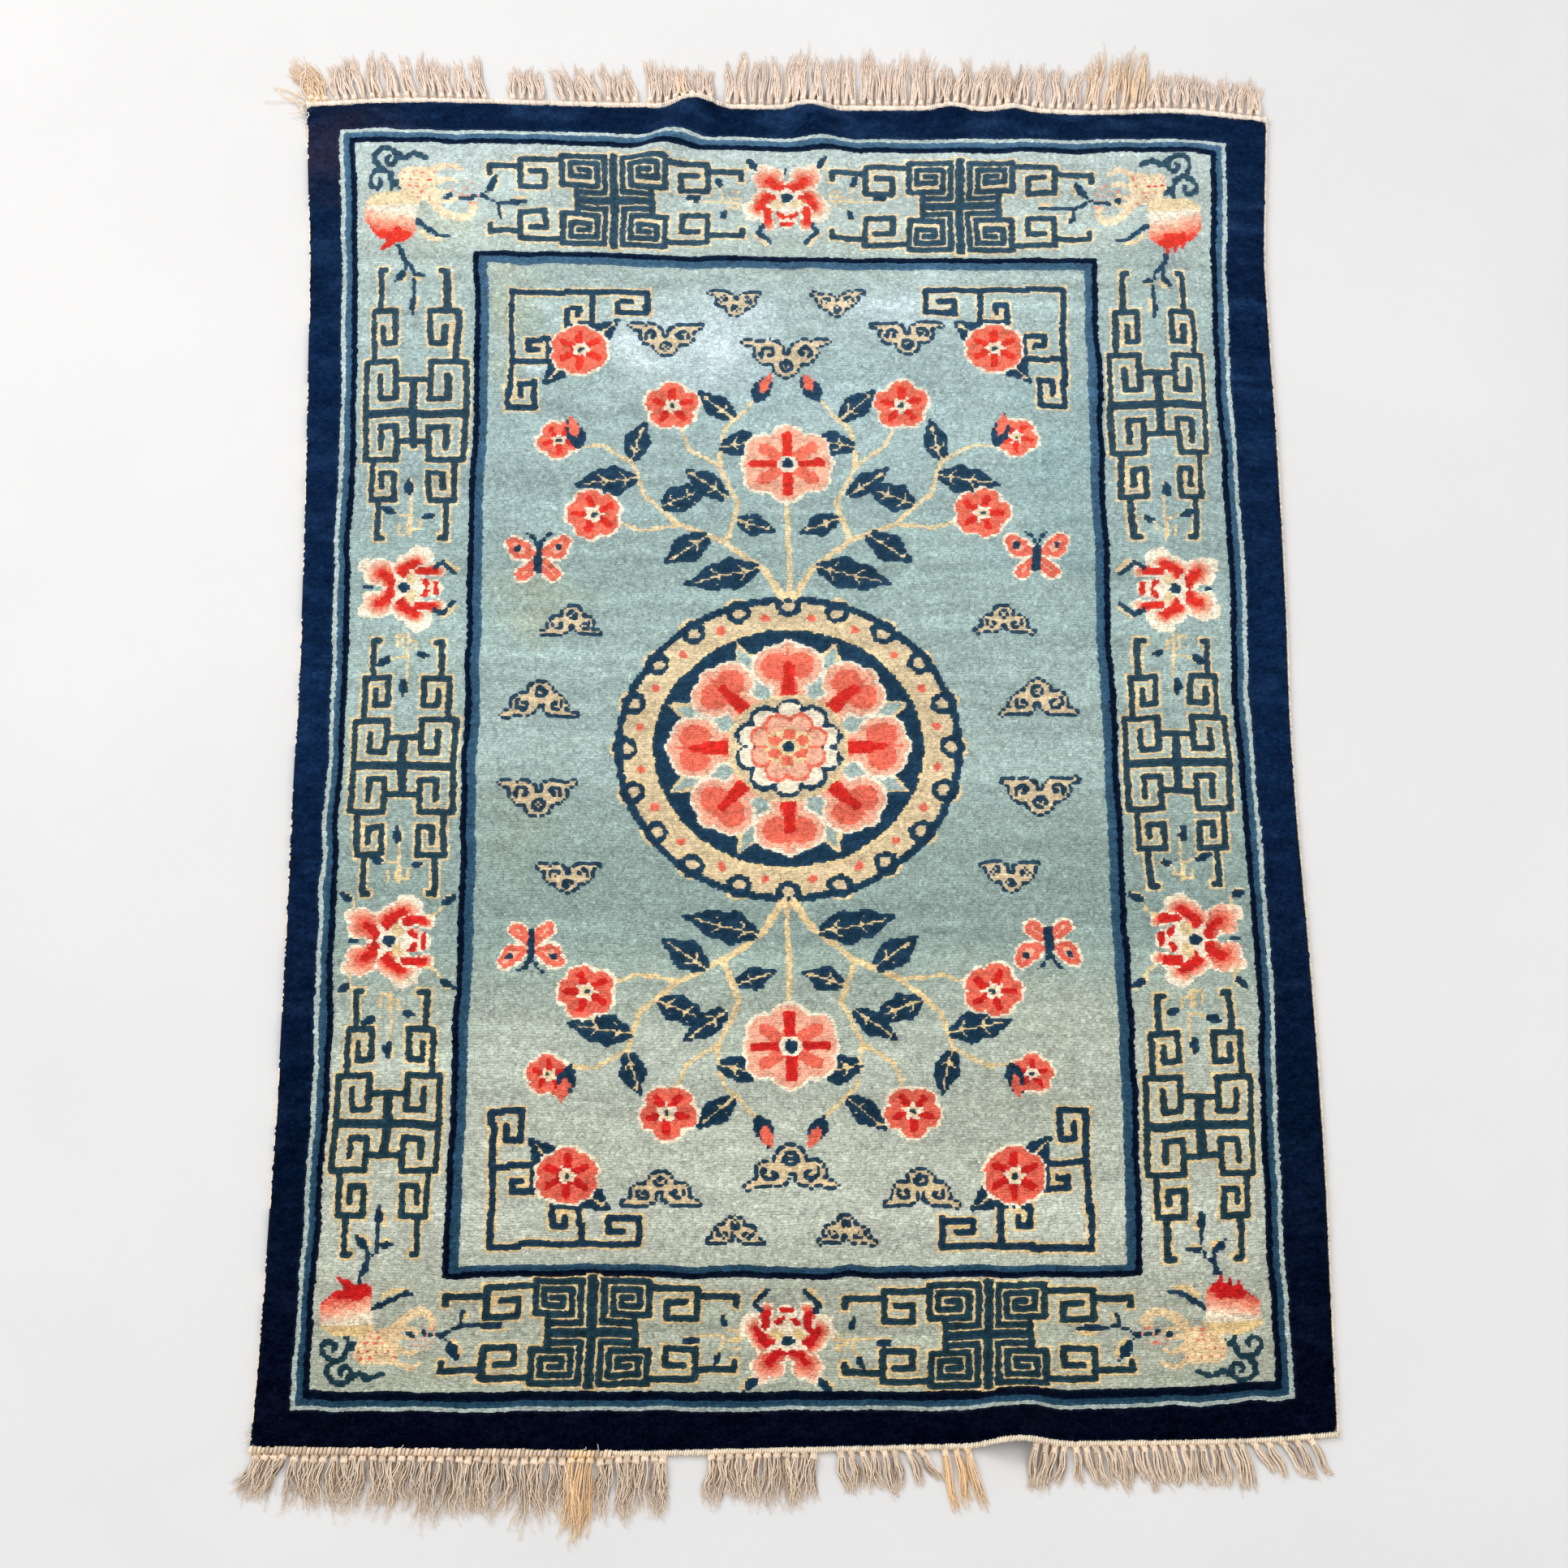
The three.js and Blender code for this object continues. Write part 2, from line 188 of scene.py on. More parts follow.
# Wools: (at the near end, at the far end), as shown on a screen. The far colours are lighter with
# painted light and sheen of the pile.
WOOLS = {
    "navy": ((2, 10, 28), (12, 32, 62)),
    "stripe light": ((168, 178, 168), (196, 210, 206)),
    "stripe mid": ((32, 62, 82), (74, 110, 138)),
    "stripe dark": ((1, 8, 24), (10, 26, 50)),
    "border ground": ((166, 170, 152), (194, 203, 194)),
    "field": ((172, 177, 160), (186, 200, 192)),
    "fret": ((24, 48, 58), (52, 80, 98)),
    "leaf": ((20, 44, 62), (42, 72, 96)),
    "tan": ((222, 189, 132), (242, 219, 178)),
    "cream": ((246, 226, 194), (251, 238, 216)),
    "sand": ((206, 180, 138), (228, 208, 174)),
    "citron": ((226, 194, 148), (250, 224, 188)),
    "red": ((188, 26, 26), (236, 66, 50)),
    "coral": ((220, 96, 76), (246, 122, 98)),
    "rose": ((230, 132, 104), (250, 158, 132)),
    "pink": ((238, 162, 134), (252, 188, 160)),
    "blush": ((246, 196, 164), (252, 216, 190)),
}
WOOL_NAMES = list(WOOLS)
DARK_WOOLS = ("navy", "stripe mid", "stripe dark", "fret", "leaf")


# Forms of the rug, as its frame has them

def edge_out(rows, place):
    """A smooth curve through a table's rows, level beyond its two ends."""
    at, out = np.array(rows, float).T
    slope = (np.r_[out[1:], out[-1]] - np.r_[out[0], out[:-1]])
    slope /= np.r_[at[1:], at[-1]] - np.r_[at[0], at[:-1]]
    place = np.clip(place, at[0], at[-1])
    i = np.clip(np.searchsorted(at, place, side="left") - 1, 0, len(at) - 2)
    span = at[i + 1] - at[i]
    t = (place - at[i]) / span
    return ((2 * t**3 - 3 * t**2 + 1) * out[i]
            + (t**3 - 2 * t**2 + t) * span * slope[i]
            + (3 * t**2 - 2 * t**3) * out[i + 1]
            + (t**3 - t**2) * span * slope[i + 1])


TINY = 1e-9


def round_corner(x, y):
    """Rounds the plain rectangle's corners."""
    a = np.maximum(np.abs(x) - (RUG_WIDTH / 2 - CORNER_RADIUS), 0)
    b = np.maximum(np.abs(y) - (RUG_LENGTH / 2 - CORNER_RADIUS), 0)
    in_corner = (a > 0) & (b > 0)
    shrink = np.where(in_corner, 1 - np.maximum(a, b) / np.maximum(np.hypot(a, b), TINY), 0)
    return x - np.sign(x) * a * shrink, y - np.sign(y) * b * shrink


def place_on_floor(x, y):
    """Where a point of the plain rectangle lies on the floor."""
    u = x / RUG_WIDTH + 0.5
    v = y / RUG_LENGTH + 0.5
    return (x - (1 - u) * edge_out(LEFT_EDGE, y) + u * edge_out(RIGHT_EDGE, y),
            y - (1 - v) * edge_out(NEAR_EDGE, x) + v * edge_out(FAR_EDGE, x))


def bell(distance, half_width):
    """A bell of height 1 over the middle, level with nothing at its two feet."""
    share = np.clip(np.abs(distance) / half_width, 0, 1)
    return 0.5 + 0.5 * np.cos(np.pi * share)


def lift(x, y):
    """How high the underside of the rug is held off the floor."""
    height = np.zeros(np.broadcast(x, y).shape)
    for end, at, slant, half_width, crest, run in RIPPLES:
        inward = RUG_LENGTH / 2 - end * y
        height += crest * bell(inward, run) * bell(x - at - slant * inward, half_width)
    for at, half_width, crest, reach in CREASES:
        height += crest * bell(x + RUG_WIDTH / 2, reach) * bell(y - at, half_width)
    return height


SHUFFLE = (12.9898, 78.233)
SHUFFLE_DEPTH = 43758.5453


def shuffled(value):
    """A repeatable number from -1 to 1 that looks unrelated to the value."""
    wave = np.sin(value) * SHUFFLE_DEPTH
    return 2 * (wave - np.floor(wave)) - 1


# Painting the knots

column = np.arange(KNOTS_ACROSS)[None, :]
row = np.arange(KNOTS_ALONG)[:, None]
knot_x, knot_y = place_on_floor((column + 0.5) * RUG_WIDTH / KNOTS_ACROSS - RUG_WIDTH / 2,
                                (row + 0.5) * RUG_LENGTH / KNOTS_ALONG - RUG_LENGTH / 2)
chart = np.zeros((KNOTS_ALONG, KNOTS_ACROSS), int)


def paint(shape, wool):
    """Knots inside a shape, where its distance is under zero, get a wool."""
    chart[shape < 0] = WOOL_NAMES.index(wool)


def disc(p, q, x, y, radius):
    return np.hypot(p - x, q - y) - radius


def stroke(p, q, points, radius, end_radius=None):
    """Distance from a bent line of even or tapering thickness."""
    radii = np.linspace(radius, radius if end_radius is None else end_radius, len(points))
    best = np.full(p.shape, np.inf)
    for (ax, ay), (bx, by), ra, rb in zip(points, points[1:], radii, radii[1:]):
        dx, dy = bx - ax, by - ay
        t = np.clip(((p - ax) * dx + (q - ay) * dy) / (dx * dx + dy * dy), 0, 1)
        near = np.hypot(p - ax - t * dx, q - ay - t * dy) - ra - (rb - ra) * t
        best = np.minimum(best, near)
    return best


def boxed(p, q, points, half):
    """Distance from a bent line of upright and level runs, with square corners."""
    best = np.full(p.shape, np.inf)
    for (ax, ay), (bx, by) in zip(points, points[1:]):
        beyond_p = np.maximum(min(ax, bx) - p, p - max(ax, bx))
        beyond_q = np.maximum(min(ay, by) - q, q - max(ay, by))
        best = np.minimum(best, np.maximum(np.maximum(beyond_p, beyond_q), 0) - half)
    return best


def union(shapes):
    return np.minimum.reduce(list(shapes))


def spiral(x, y, start_radius, end_radius, start, turns, steps=18):
    """Points of a spiral about (x, y). Start is its first angle, in turns."""
    points = []
    for k in range(steps + 1):
        share = k / steps
        angle = 2 * math.pi * (start + turns * share)
        radius = start_radius + (end_radius - start_radius) * share
        points.append((x + radius * math.cos(angle), y + radius * math.sin(angle)))
    return points


# The power that sets where a leaf is broadest, and how sharply it ends.
LEAF_FULLNESS = 0.8
LEAF_END = 2
LEAF_TRIM = 0.01


def leaf_shape(p, q, base, tip, half_width):
    """A pointed leaf from its base to its tip."""
    dx, dy = tip[0] - base[0], tip[1] - base[1]
    length = math.hypot(dx, dy)
    along = ((p - base[0]) * dx + (q - base[1]) * dy) / length
    across = np.abs((p - base[0]) * dy - (q - base[1]) * dx) / length
    t = np.clip(along / length, 0, 1)
    outside = np.maximum(np.maximum(-along, along - length), 0)
    breadth = half_width * np.sin(np.pi * t**LEAF_FULLNESS)
    return across - breadth + LEAF_END * outside + LEAF_TRIM


def local(x, y, up, size=1.0):
    """Axes about a place: q the way of up and p to the right of that."""
    dx = (knot_x - x) / size
    dy = (knot_y - y) / size
    return dx * up[1] - dy * up[0], dx * up[0] + dy * up[1]


# Stripes

def inside_stripe(index):
    left, right, near, far, _ = STRIPES[index]
    return ((column >= left) & (column < KNOTS_ACROSS - right)
            & (row >= near) & (row < KNOTS_ALONG - far))


for index, stripe in enumerate(STRIPES):
    chart[inside_stripe(index)] = WOOL_NAMES.index(stripe[4])


# Frets are worked on the knots themselves: two dark knots with a tan one each side

END_FRET = [
    [(-12, 3.5), (-3.5, 3.5), (-3.5, 18.5), (-19.5, 18.5), (-19.5, 6.5), (-6.5, 6.5),
     (-6.5, 15.5), (-16.5, 15.5), (-16.5, 9.5), (-9.5, 9.5), (-9.5, 12.5), (-13.5, 12.5)],
    [(-14.5, 6.5), (-14.5, 0)],
    [(-20, 16.5), (-35.5, 16.5), (-35.5, 5.5), (-25.5, 5.5), (-25.5, 11.5), (-31, 11.5)],
    [(-35.5, 13.5), (-48.5, 13.5), (-48.5, 10.5)],
]
END_FRET_BARS = [(15, 1), (1, 20)]
SIDE_FRET = [
    [(-18.5, 0), (-18.5, 18.5), (-6.5, 18.5), (-6.5, 5.5), (-12.5, 5.5), (-12.5, 13.5)],
    [(-6.5, 11.5), (0, 11.5)],
    [(-15.5, 19), (-15.5, 35.5), (-6.5, 35.5), (-6.5, 24.5), (-11.5, 24.5), (-11.5, 30.5)],
    [(-12.5, 36), (-12.5, 50.5), (-10.5, 50.5)],
]
SIDE_FRET_BARS = [(19, 1), (1, 11)]
STROKE_HALF = 1
HALF_KNOT = 0.5
OUTLINE = 1


def on_knots(value):
    """Keeps a two-knot stroke on whole knots, also when the fret is stretched."""
    return math.copysign(math.floor(abs(value)) + HALF_KNOT, value) if value else 0.0


def fret(x, y, strokes, bars, up_scale, down_scale, across_scale):
    """A fret about the knot nearest to a place, mirrored to its four quarters."""
    nearest = np.argmin((knot_x - x) ** 2 + (knot_y - y) ** 2)
    middle_row, middle_column = np.unravel_index(nearest, chart.shape)
    across = np.abs(column - middle_column)
    up = row - middle_row
    parts = []
    for sign, scale in ((1, up_scale), (-1, down_scale)):
        for points in strokes:
            fitted = [(on_knots(-p * across_scale), on_knots(q * scale)) for p, q in points]
            parts.append(boxed(across, sign * up, fitted, STROKE_HALF))
    for half_across, half_up in bars:
        reach = half_up * (up_scale if half_up > half_across else 1)
        parts.append(np.maximum(across - half_across * across_scale, np.abs(up) - reach) - HALF_KNOT)
    dark = union(parts)
    paint(dark - OUTLINE, "tan")
    paint(dark, "fret")


# Each fret: (x, y, strokes, bars, scale of its far half, of its near half, and across).
FRETS = [
    (-231, -775, END_FRET, END_FRET_BARS, 1, 1, 1),
    (221, -774, END_FRET, END_FRET_BARS, 1, 1, 1),
    (-221, 773, END_FRET, END_FRET_BARS, 1.06, 1.06, 1),
    (217, 763, END_FRET, END_FRET_BARS, 1.06, 1.06, 1),
    (-465, 458, SIDE_FRET, SIDE_FRET_BARS, 1.24, 1.04, 1),
    (-465, -37, SIDE_FRET, SIDE_FRET_BARS, 1, 1, 1),
    (-472, -511, SIDE_FRET, SIDE_FRET_BARS, 1, 0.96, 1),
    (459, 465, SIDE_FRET, SIDE_FRET_BARS, 1.14, 1.12, 0.95),
    (460, -39, SIDE_FRET, SIDE_FRET_BARS, 1, 0.98, 1),
    (471, -518, SIDE_FRET, SIDE_FRET_BARS, 1, 0.98, 1),
]
for place in FRETS:
    fret(*place)


# Peonies. Their tables are for one half, in millimetres: q runs from the flower's
# dark eye toward the field and p to the side. A petal has its lobes (q, p, radius),
# the red heart's line (q, p), its radius, and how far the paler reds reach round it.

PEONY_BASE = [(-6, 0, 12), (-4, 15, 12), (12, 20, 12)]
PEONY_PETALS = [
    ([(-47, 33, 11), (-33, 35, 12), (-22, 27, 14), (-38, 17, 14), (-20, 10, 11)],
     [(-29, 23), (-18, 15), (-15, 5)], 5.4, 1.8),
    ([(-8, 30, 10), (2, 36, 14), (17, 49, 13), (26, 46, 12), (2, 22, 10), (20, 37, 12),
      (30, 38, 9)],
     [(-5, 16), (-2, 27), (15, 37)], 5.6, 1.0),
    ([(22, 26, 9), (36, 27, 10), (45, 25, 9.5)],
     [(18, 26), (38, 27)], 5.4, 1.2),
]
PETAL_REDS = [("blush", 12), ("pink", 9), ("rose", 5.5), ("coral", 2.8)]
PETAL_RIM = 2.7
PEONY_MIDDLE = [(19, 0, 17), (36, 0, 14)]
PEONY_BUDS = [
    ([(25, 12), (30, 5)], 3.6),
    ([(41, -7), (41, 7)], 3.8),
]
BUD_RISE = 5
SKIRT_TICK = ([(-38, 0), (-50, 0)], 1.6)
PEONY_CHEEK = (9, 13, 6.5, 9)
PEONY_EYE = 6.8


def peony(x, y, inward, size, redness):
    """A peony in profile. Redness is how far its reds spread to its pale rims."""
    p, q = local(x, y, inward, size)
    p = np.abs(p)
    paint(stroke(q, p, *SKIRT_TICK), "leaf")
    paint(union(disc(q, p, *part) for part in PEONY_BASE), "cream")
    for lobes, heart, radius, fullness in PEONY_PETALS:
        petal = union(disc(q, p, *lobe) for lobe in lobes)
        heart = stroke(q, p, heart, radius)
        paint(petal, "cream")
        for wool, reach in PETAL_REDS:
            paint(np.maximum(petal + PETAL_RIM, heart - reach * fullness * redness), wool)
        paint(np.maximum(petal + PETAL_RIM / 2, heart), "red")
    paint(union(disc(q, p, *part) for part in PEONY_MIDDLE), "cream")
    for points, radius in PEONY_BUDS:
        paint(disc(q, p, points[0][0] + BUD_RISE, points[0][1], radius), "pink")
        paint(stroke(q, p, points, radius), "red")
    up, out, half_up, half_out = PEONY_CHEEK
    paint(np.hypot((q - up) / half_up, (p - out) / half_out) - 1, "tan")
    paint(disc(q, p, 0, 0, PEONY_EYE), "leaf")


def edged_leaf(p, q, base, tip, half_width, shade):
    """A dark leaf whose tan side shows where shade points."""
    dx, dy = shade
    lit = leaf_shape(p, q, (base[0] + dx, base[1] + dy), (tip[0] + dx, tip[1] + dy), half_width)
    paint(lit, "tan")
    paint(leaf_shape(p, q, base, tip, half_width), "leaf")


# Leaves of a peony, for one half: p to the side and q toward the field.
BRACKET_TAN = ([(45, 56), (29, 73)], 3.2)
BRACKET_LEAF = ([(34, 41), (41, 53), (23, 70)], 2.6)
CURLED_STALKS = [[(42, -46), (54, -44), (63, -53)], [(32, 46), (40, 58), (52, 62), (61, 68)]]
CURLED_LEAVES = [((54, -46), (66, -62), 4.5, (2, 2)), ((50, 60), (62, 79), 4.5, (2, -2))]
STALK_RADIUS = 1.9
SKIRT_LEAF = ((36, -46), (50, -62), 5, (4, 2))


def one_half(x, y, inward, size):
    p, q = local(x, y, inward, size)
    return np.abs(p), q


def bracket_leaves(x, y, inward, size):
    """Bent leaves on the two inner corners of a peony."""
    p, q = one_half(x, y, inward, size)
    paint(stroke(p, q, *BRACKET_TAN), "tan")
    paint(stroke(p, q, *BRACKET_LEAF), "leaf")


def curled_leaves(x, y, inward, size):
    """Small leaves on curled stalks at the four corners of a peony."""
    p, q = one_half(x, y, inward, size)
    for stalk, leaf in zip(CURLED_STALKS, CURLED_LEAVES):
        paint(stroke(p, q, stalk, STALK_RADIUS), "tan")
        edged_leaf(p, q, *leaf)


def skirt_leaves(x, y, inward, size):
    """Small leaves beside the skirt of an end peony."""
    p, q = one_half(x, y, inward, size)
    edged_leaf(p, q, *SKIRT_LEAF)


FIELDWARD_LEFT = (1, 0)
FIELDWARD_RIGHT = (-1, 0)
FIELDWARD_NEAR = (0, 1)
FIELDWARD_FAR = (0, -1)

# Thin key-like tendrils with three leaves. t runs away from the flower, s across.
TENDRIL_STEM = [
    [(0, 0), (0, 88)],
    [(-14, 22), (-14, 5), (-5, 5), (-5, 24), (0, 24)],
    [(0, 12), (9, 12), (9, 26), (18, 30)],
    [(0, 34), (-12, 34), (-22, 42)],
]
TENDRIL_LEAVES = [
    ((-20, 36), (-38, 46), 5),
    ((12, 30), (28, 34), 4.5),
    ((-4, 66), (-4, 92), 5),
]
TENDRIL_RADIUS = 1.6
TENDRIL_SHADE = (2.5, 0)


def tendril(x, y, away, side, reach):
    s, t = local(x, y, away)
    s = s * side
    t = t / reach
    for points in TENDRIL_STEM:
        paint(stroke(s, t, points, TENDRIL_RADIUS), "tan")
    for base, tip, half_width in TENDRIL_LEAVES:
        edged_leaf(s, t, base, tip, half_width, TENDRIL_SHADE)


# Each tendril: (x, y, the way it runs, the side its leaves turn to, its reach).
TENDRILS = [
    (-463, 281, (0, 1), 1, 0.9), (-463, 147, (0, -1), -1, 1),
    (-464, -200, (0, 1), 1, 0.85), (-468, -338, (0, -1), -1, 1),
    (459, 273, (0, 1), -1, 0.9), (463, 144, (0, -1), 1, 1),
    (461, -200, (0, 1), -1, 0.85), (465, -338, (0, -1), 1, 1),
    (-58, -780, (-1, 0), 1, 0.75), (44, -780, (1, 0), -1, 0.75),
    (-54, 773, (-1, 0), -1, 0.85), (50, 773, (1, 0), 1, 0.85),
]
for place in TENDRILS:
    tendril(*place)

# Each peony: (x, y, the way to the field, size, redness).
PEONIES = [
    (-471, 208, FIELDWARD_LEFT, 0.97, 0.65), (469, 203, FIELDWARD_RIGHT, 0.97, 0.65),
    (-474, -273, FIELDWARD_LEFT, 1, 1), (475, -275, FIELDWARD_RIGHT, 1, 1),
    (-8, -784, FIELDWARD_NEAR, 0.92, 1), (-2, 777, FIELDWARD_FAR, 0.92, 1),
]
# Their leaves: (kind, x, y, the way to the field, size).
PEONY_LEAVES = [
    (bracket_leaves, -471, 208, FIELDWARD_LEFT, 0.9),
    (bracket_leaves, 467, 203, FIELDWARD_RIGHT, 0.9),
    (curled_leaves, -474, -273, FIELDWARD_LEFT, 1),
    (curled_leaves, 475, -275, FIELDWARD_RIGHT, 1),
    (bracket_leaves, -8, -784, FIELDWARD_NEAR, 0.9),
    (skirt_leaves, -8, -784, FIELDWARD_NEAR, 1),
    (bracket_leaves, -2, 775, FIELDWARD_FAR, 0.92),
    (skirt_leaves, -2, 775, FIELDWARD_FAR, 1),
]
for place in PEONIES:
    peony(*place)
for leaves, *place in PEONY_LEAVES:
    leaves(*place)


# Corner motifs: a fruit, a fingered citron, a cloud scroll and two sprigs. Their
# tables are from the inner corner of the border's ground: p along the end, q along
# the side, both toward the middle of the rug.

FRUIT_MIDDLE = 38.5
FRUIT_FOOT = 88
FRUIT_TOP = 137
FRUIT_CREST = 53
FRUIT_BANDS = [
    (91, "cream"), (97, "blush"), (103, "pink"), (110, "rose"), (117, "coral"), (125, "red"),
]
FRUIT_TILT = 0.2
FRUIT_SHOULDERS = (0.0105, 0.03)
FRUIT_FOOT_DEPTH = 16
FRUIT_FOOT_LIP = 2
FRUIT_FOOT_RISE = 1
# How far the shaded edges of the fruit are broken up, and in patches of what size.
FRUIT_GRAIN = 4
GRAIN_SIZE = 3
SPRIG_LEAVES_Q = 190
SPRIG_TIP = 238
CITRON_PARTS = [
    ([(60, 55), (84, 56)], 14, 14),
    ([(58, 72), (90, 73)], 9, 9),
    ([(58, 47), (84, 46)], 8, 8),
    ([(88, 76), (99, 91), (110, 100), (124, 104), (135, 100), (139, 92), (136, 86)], 6, 4.5),
    ([(90, 80), (108, 83), (118, 80)], 4, 3),
    ([(94, 73), (112, 71)], 4, 3),
    ([(94, 60), (109, 53), (119, 57)], 4, 2.4),
    ([(86, 46), (98, 39), (112, 36), (124, 42)], 5, 2.6),
]
CITRON_DOTS = [
    (64, 79), (74, 78), (87, 79), (66, 72), (75, 71), (61, 64), (71, 64), (80, 64),
    (55, 46), (65, 46), (77, 46), (92, 46),
]
CITRON_SEEDS = [(53, 55), (63, 55), (73, 55), (87, 55)]
POLLEN_DOTS = [
    (125, 86), (135, 84), (141, 84), (123, 74), (131, 76), (142, 76), (117, 71),
    (125, 68), (131, 69), (138, 68), (113, 64), (121, 63), (130, 64), (136, 59), (128, 56),
]
DOT_RADIUS = 2
CITRON_STALK_RADIUS = 2.6
SCROLL_LINES = [
    ([(38, 78), (40, 62), (36, 48), (26, 43)], 3.0, 3.0),
    ([(54, 67), (44, 60)], 3.4, 2.8),
    ([(26, 44), (14, 47), (8, 57), (11, 66), (19, 68), (25, 63), (22, 56)], 2.8, 2.4),
    ([(24, 44), (17, 35), (16, 26), (23, 18), (33, 15), (43, 20), (46, 29), (41, 36),
      (34, 36), (31, 30), (35, 26)], 3.0, 2.4),
    ([(43, 22), (55, 28), (64, 22), (74, 25), (81, 28)], 3.4, 2.4),
]
SPRIG_LINES = [
    ([(109, 78), (113, 74)], 2.2, 2.2),
    ([(121, 80), (139, 77), (149, 75)], 1.9, 1.9),
    ([(149, 75), (161, 83), (171, 86), (190, 85)], 1.7, 1.7),
    ([(171, 86), (171, 99), (175, 105)], 1.7, 1.7),
    ([(149, 75), (157, 67)], 1.9, 1.9),
    ([(69, 105), (87, 118), (101, 127), (114, 126)], 2.8, 1.7),
    ([(51, 140), (54, 153), (60, 168)], 2.0, 2.6),
    ([(60, 168), (68, 176), (71, 190), (71, 230)], 1.9, 1.7),
    ([(60, 168), (59, 184)], 1.7, 1.7),
]
SPRIG_TAN_LINES = [
    ([(79, 122), (89, 131), (104, 132)], 3.4, 2.6),
    ([(179, 104), (175, 93)], 2.2, 2.2),
]
SPRIG_LEAVES = [
    ((155, 70), (171, 43), 6, (5, 2)),
    ((188, 85), (220, 84), 3.4, (3, -5)),
    ((60, 183), (44, 200), 5, (4, 3)),
    ((71, 186), (90, 189), 4, (-1, 4)),
    ((71, 210), (70, 238), 4.4, (6, -2)),
    ((52, 145), (60, 165), 4, (0, 0)),
]
CROWNS = {
    "hooked": [([(50, 126), (38, 138), (24, 149)], 9, 1.2), ([(26, 126), (60, 128)], 5, 6)],
    "peaked": [([(52, 124), (52, 149)], 6, 1.2), ([(42, 124), (42, 145)], 6, 1.2),
               ([(31, 122), (31, 139)], 6, 1.2)],
}


def scattered(p, q):
    """A number from -1 to 1 for each knot, to break up a shaded edge."""
    return shuffled(np.round(p / GRAIN_SIZE) * SHUFFLE[0] + np.round(q / GRAIN_SIZE) * SHUFFLE[1])


def corner(x, y, toward_x, toward_y, crown, half, heights, leaf_size):
    """One corner. Heights are how far the fruit's top, the sprig's leaves and its tip
    really are along the side."""
    crest_at, leaves_at, tip_at = heights
    p = (knot_x - x) * toward_x
    along = (knot_y - y) * toward_y
    places = (-crest_at, crest_at, leaves_at, tip_at, tip_at + SPRIG_TIP)
    charted = (-FRUIT_TOP, FRUIT_TOP, SPRIG_LEAVES_Q, SPRIG_TIP, 2 * SPRIG_TIP)
    q = np.interp(along, places, charted)
    for points, radius, end_radius in SCROLL_LINES:
        paint(stroke(p, q, points, radius, end_radius), "fret")
    for points, radius, end_radius in SPRIG_TAN_LINES:
        paint(stroke(p, q, points, radius, end_radius), "tan")
    for points, radius, end_radius in SPRIG_LINES:
        paint(stroke(p, q, points, radius, end_radius), "leaf")
    for base, tip, half_width, shade in SPRIG_LEAVES:
        tip = [start + (end - start) * leaf_size for start, end in zip(base, tip)]
        edged_leaf(p, q, base, tip, half_width * leaf_size, shade)
    paint(union(stroke(p, q, *part) for part in CITRON_PARTS), "citron")
    paint(stroke(p, q, SPRIG_LINES[0][0], CITRON_STALK_RADIUS), "leaf")
    for spots, wool in ((CITRON_DOTS, "coral"), (CITRON_SEEDS, "red"), (POLLEN_DOTS, "rose")):
        paint(union(disc(p, q, a, b, DOT_RADIUS) for a, b in spots), wool)
    side = np.abs(p - FRUIT_MIDDLE)
    crest = FRUIT_TOP - np.where(p < FRUIT_CREST, *FRUIT_SHOULDERS) * (p - FRUIT_CREST) ** 2
    body = np.maximum(side - half, np.maximum(FRUIT_FOOT - q, q - crest))
    bowl = np.hypot(side / (half + FRUIT_FOOT_LIP), (q - FRUIT_FOOT) / FRUIT_FOOT_DEPTH) - 1
    paint(np.maximum(q - FRUIT_FOOT - FRUIT_FOOT_RISE, FRUIT_FOOT_DEPTH * bowl), "tan")
    level = q - FRUIT_TILT * (p - FRUIT_MIDDLE) + FRUIT_GRAIN * scattered(p, q)
    paint(body, "cream")
    for start, wool in FRUIT_BANDS:
        paint(np.maximum(body, start - level), wool)
    paint(union(stroke(p, q, *part) for part in CROWNS[crown]), "red")


# Each corner: (x, y, the way to the middle across, and along, the fruit's crown, its
# half width, heights, the leaves' size).
CORNERS = [
    (-548, -849, 1, 1, "hooked", 29, (137, 189, 237), 1),
    (540, -850, -1, 1, "peaked", 33.5, (139, 181, 228), 1),
    (-540, 872, 1, -1, "hooked", 35, (162, 213, 278), 0.78),
    (526, 854, -1, -1, "peaked", 33.5, (157, 209, 270), 0.78),
]
for place in CORNERS:
    corner(*place)


# The field. Everything in it is mirrored about its middle, so it is painted for one
# quarter: aside is the distance to the side of the middle and ahead the distance
# along.

FIELD_MIDDLE = (-3, -15)
FIELD_HALF = (370, 676)
across_field = knot_x - FIELD_MIDDLE[0]
along_field = knot_y - FIELD_MIDDLE[1]
aside = np.abs(across_field)
ahead = np.abs(along_field)
from_middle = np.hypot(across_field, along_field)
turn = np.arctan2(across_field, along_field)

MEDALLION_RADIUS = 208
BAND_RADIUS = 200
# Rings about the petals, the rosette and its eye: (radius, wool).
PETAL_RINGS = [(166, "tan"), (161, "leaf")]
ROSETTE_RINGS = [(74, "tan"), (70, "sand")]
EYE_RINGS = [(12, "tan"), (7, "leaf")]
BAND_PARTS = 20
BAND_DOT = (180, 0, 5.5)
# Scallops: (how far out, aside, radius, wool).
SCALLOPS = [(196, 0, 19, "tan"), (196, 0, 15, "leaf"), (194, 0, 8, "sand")]
LOTUS_PETALS = 8
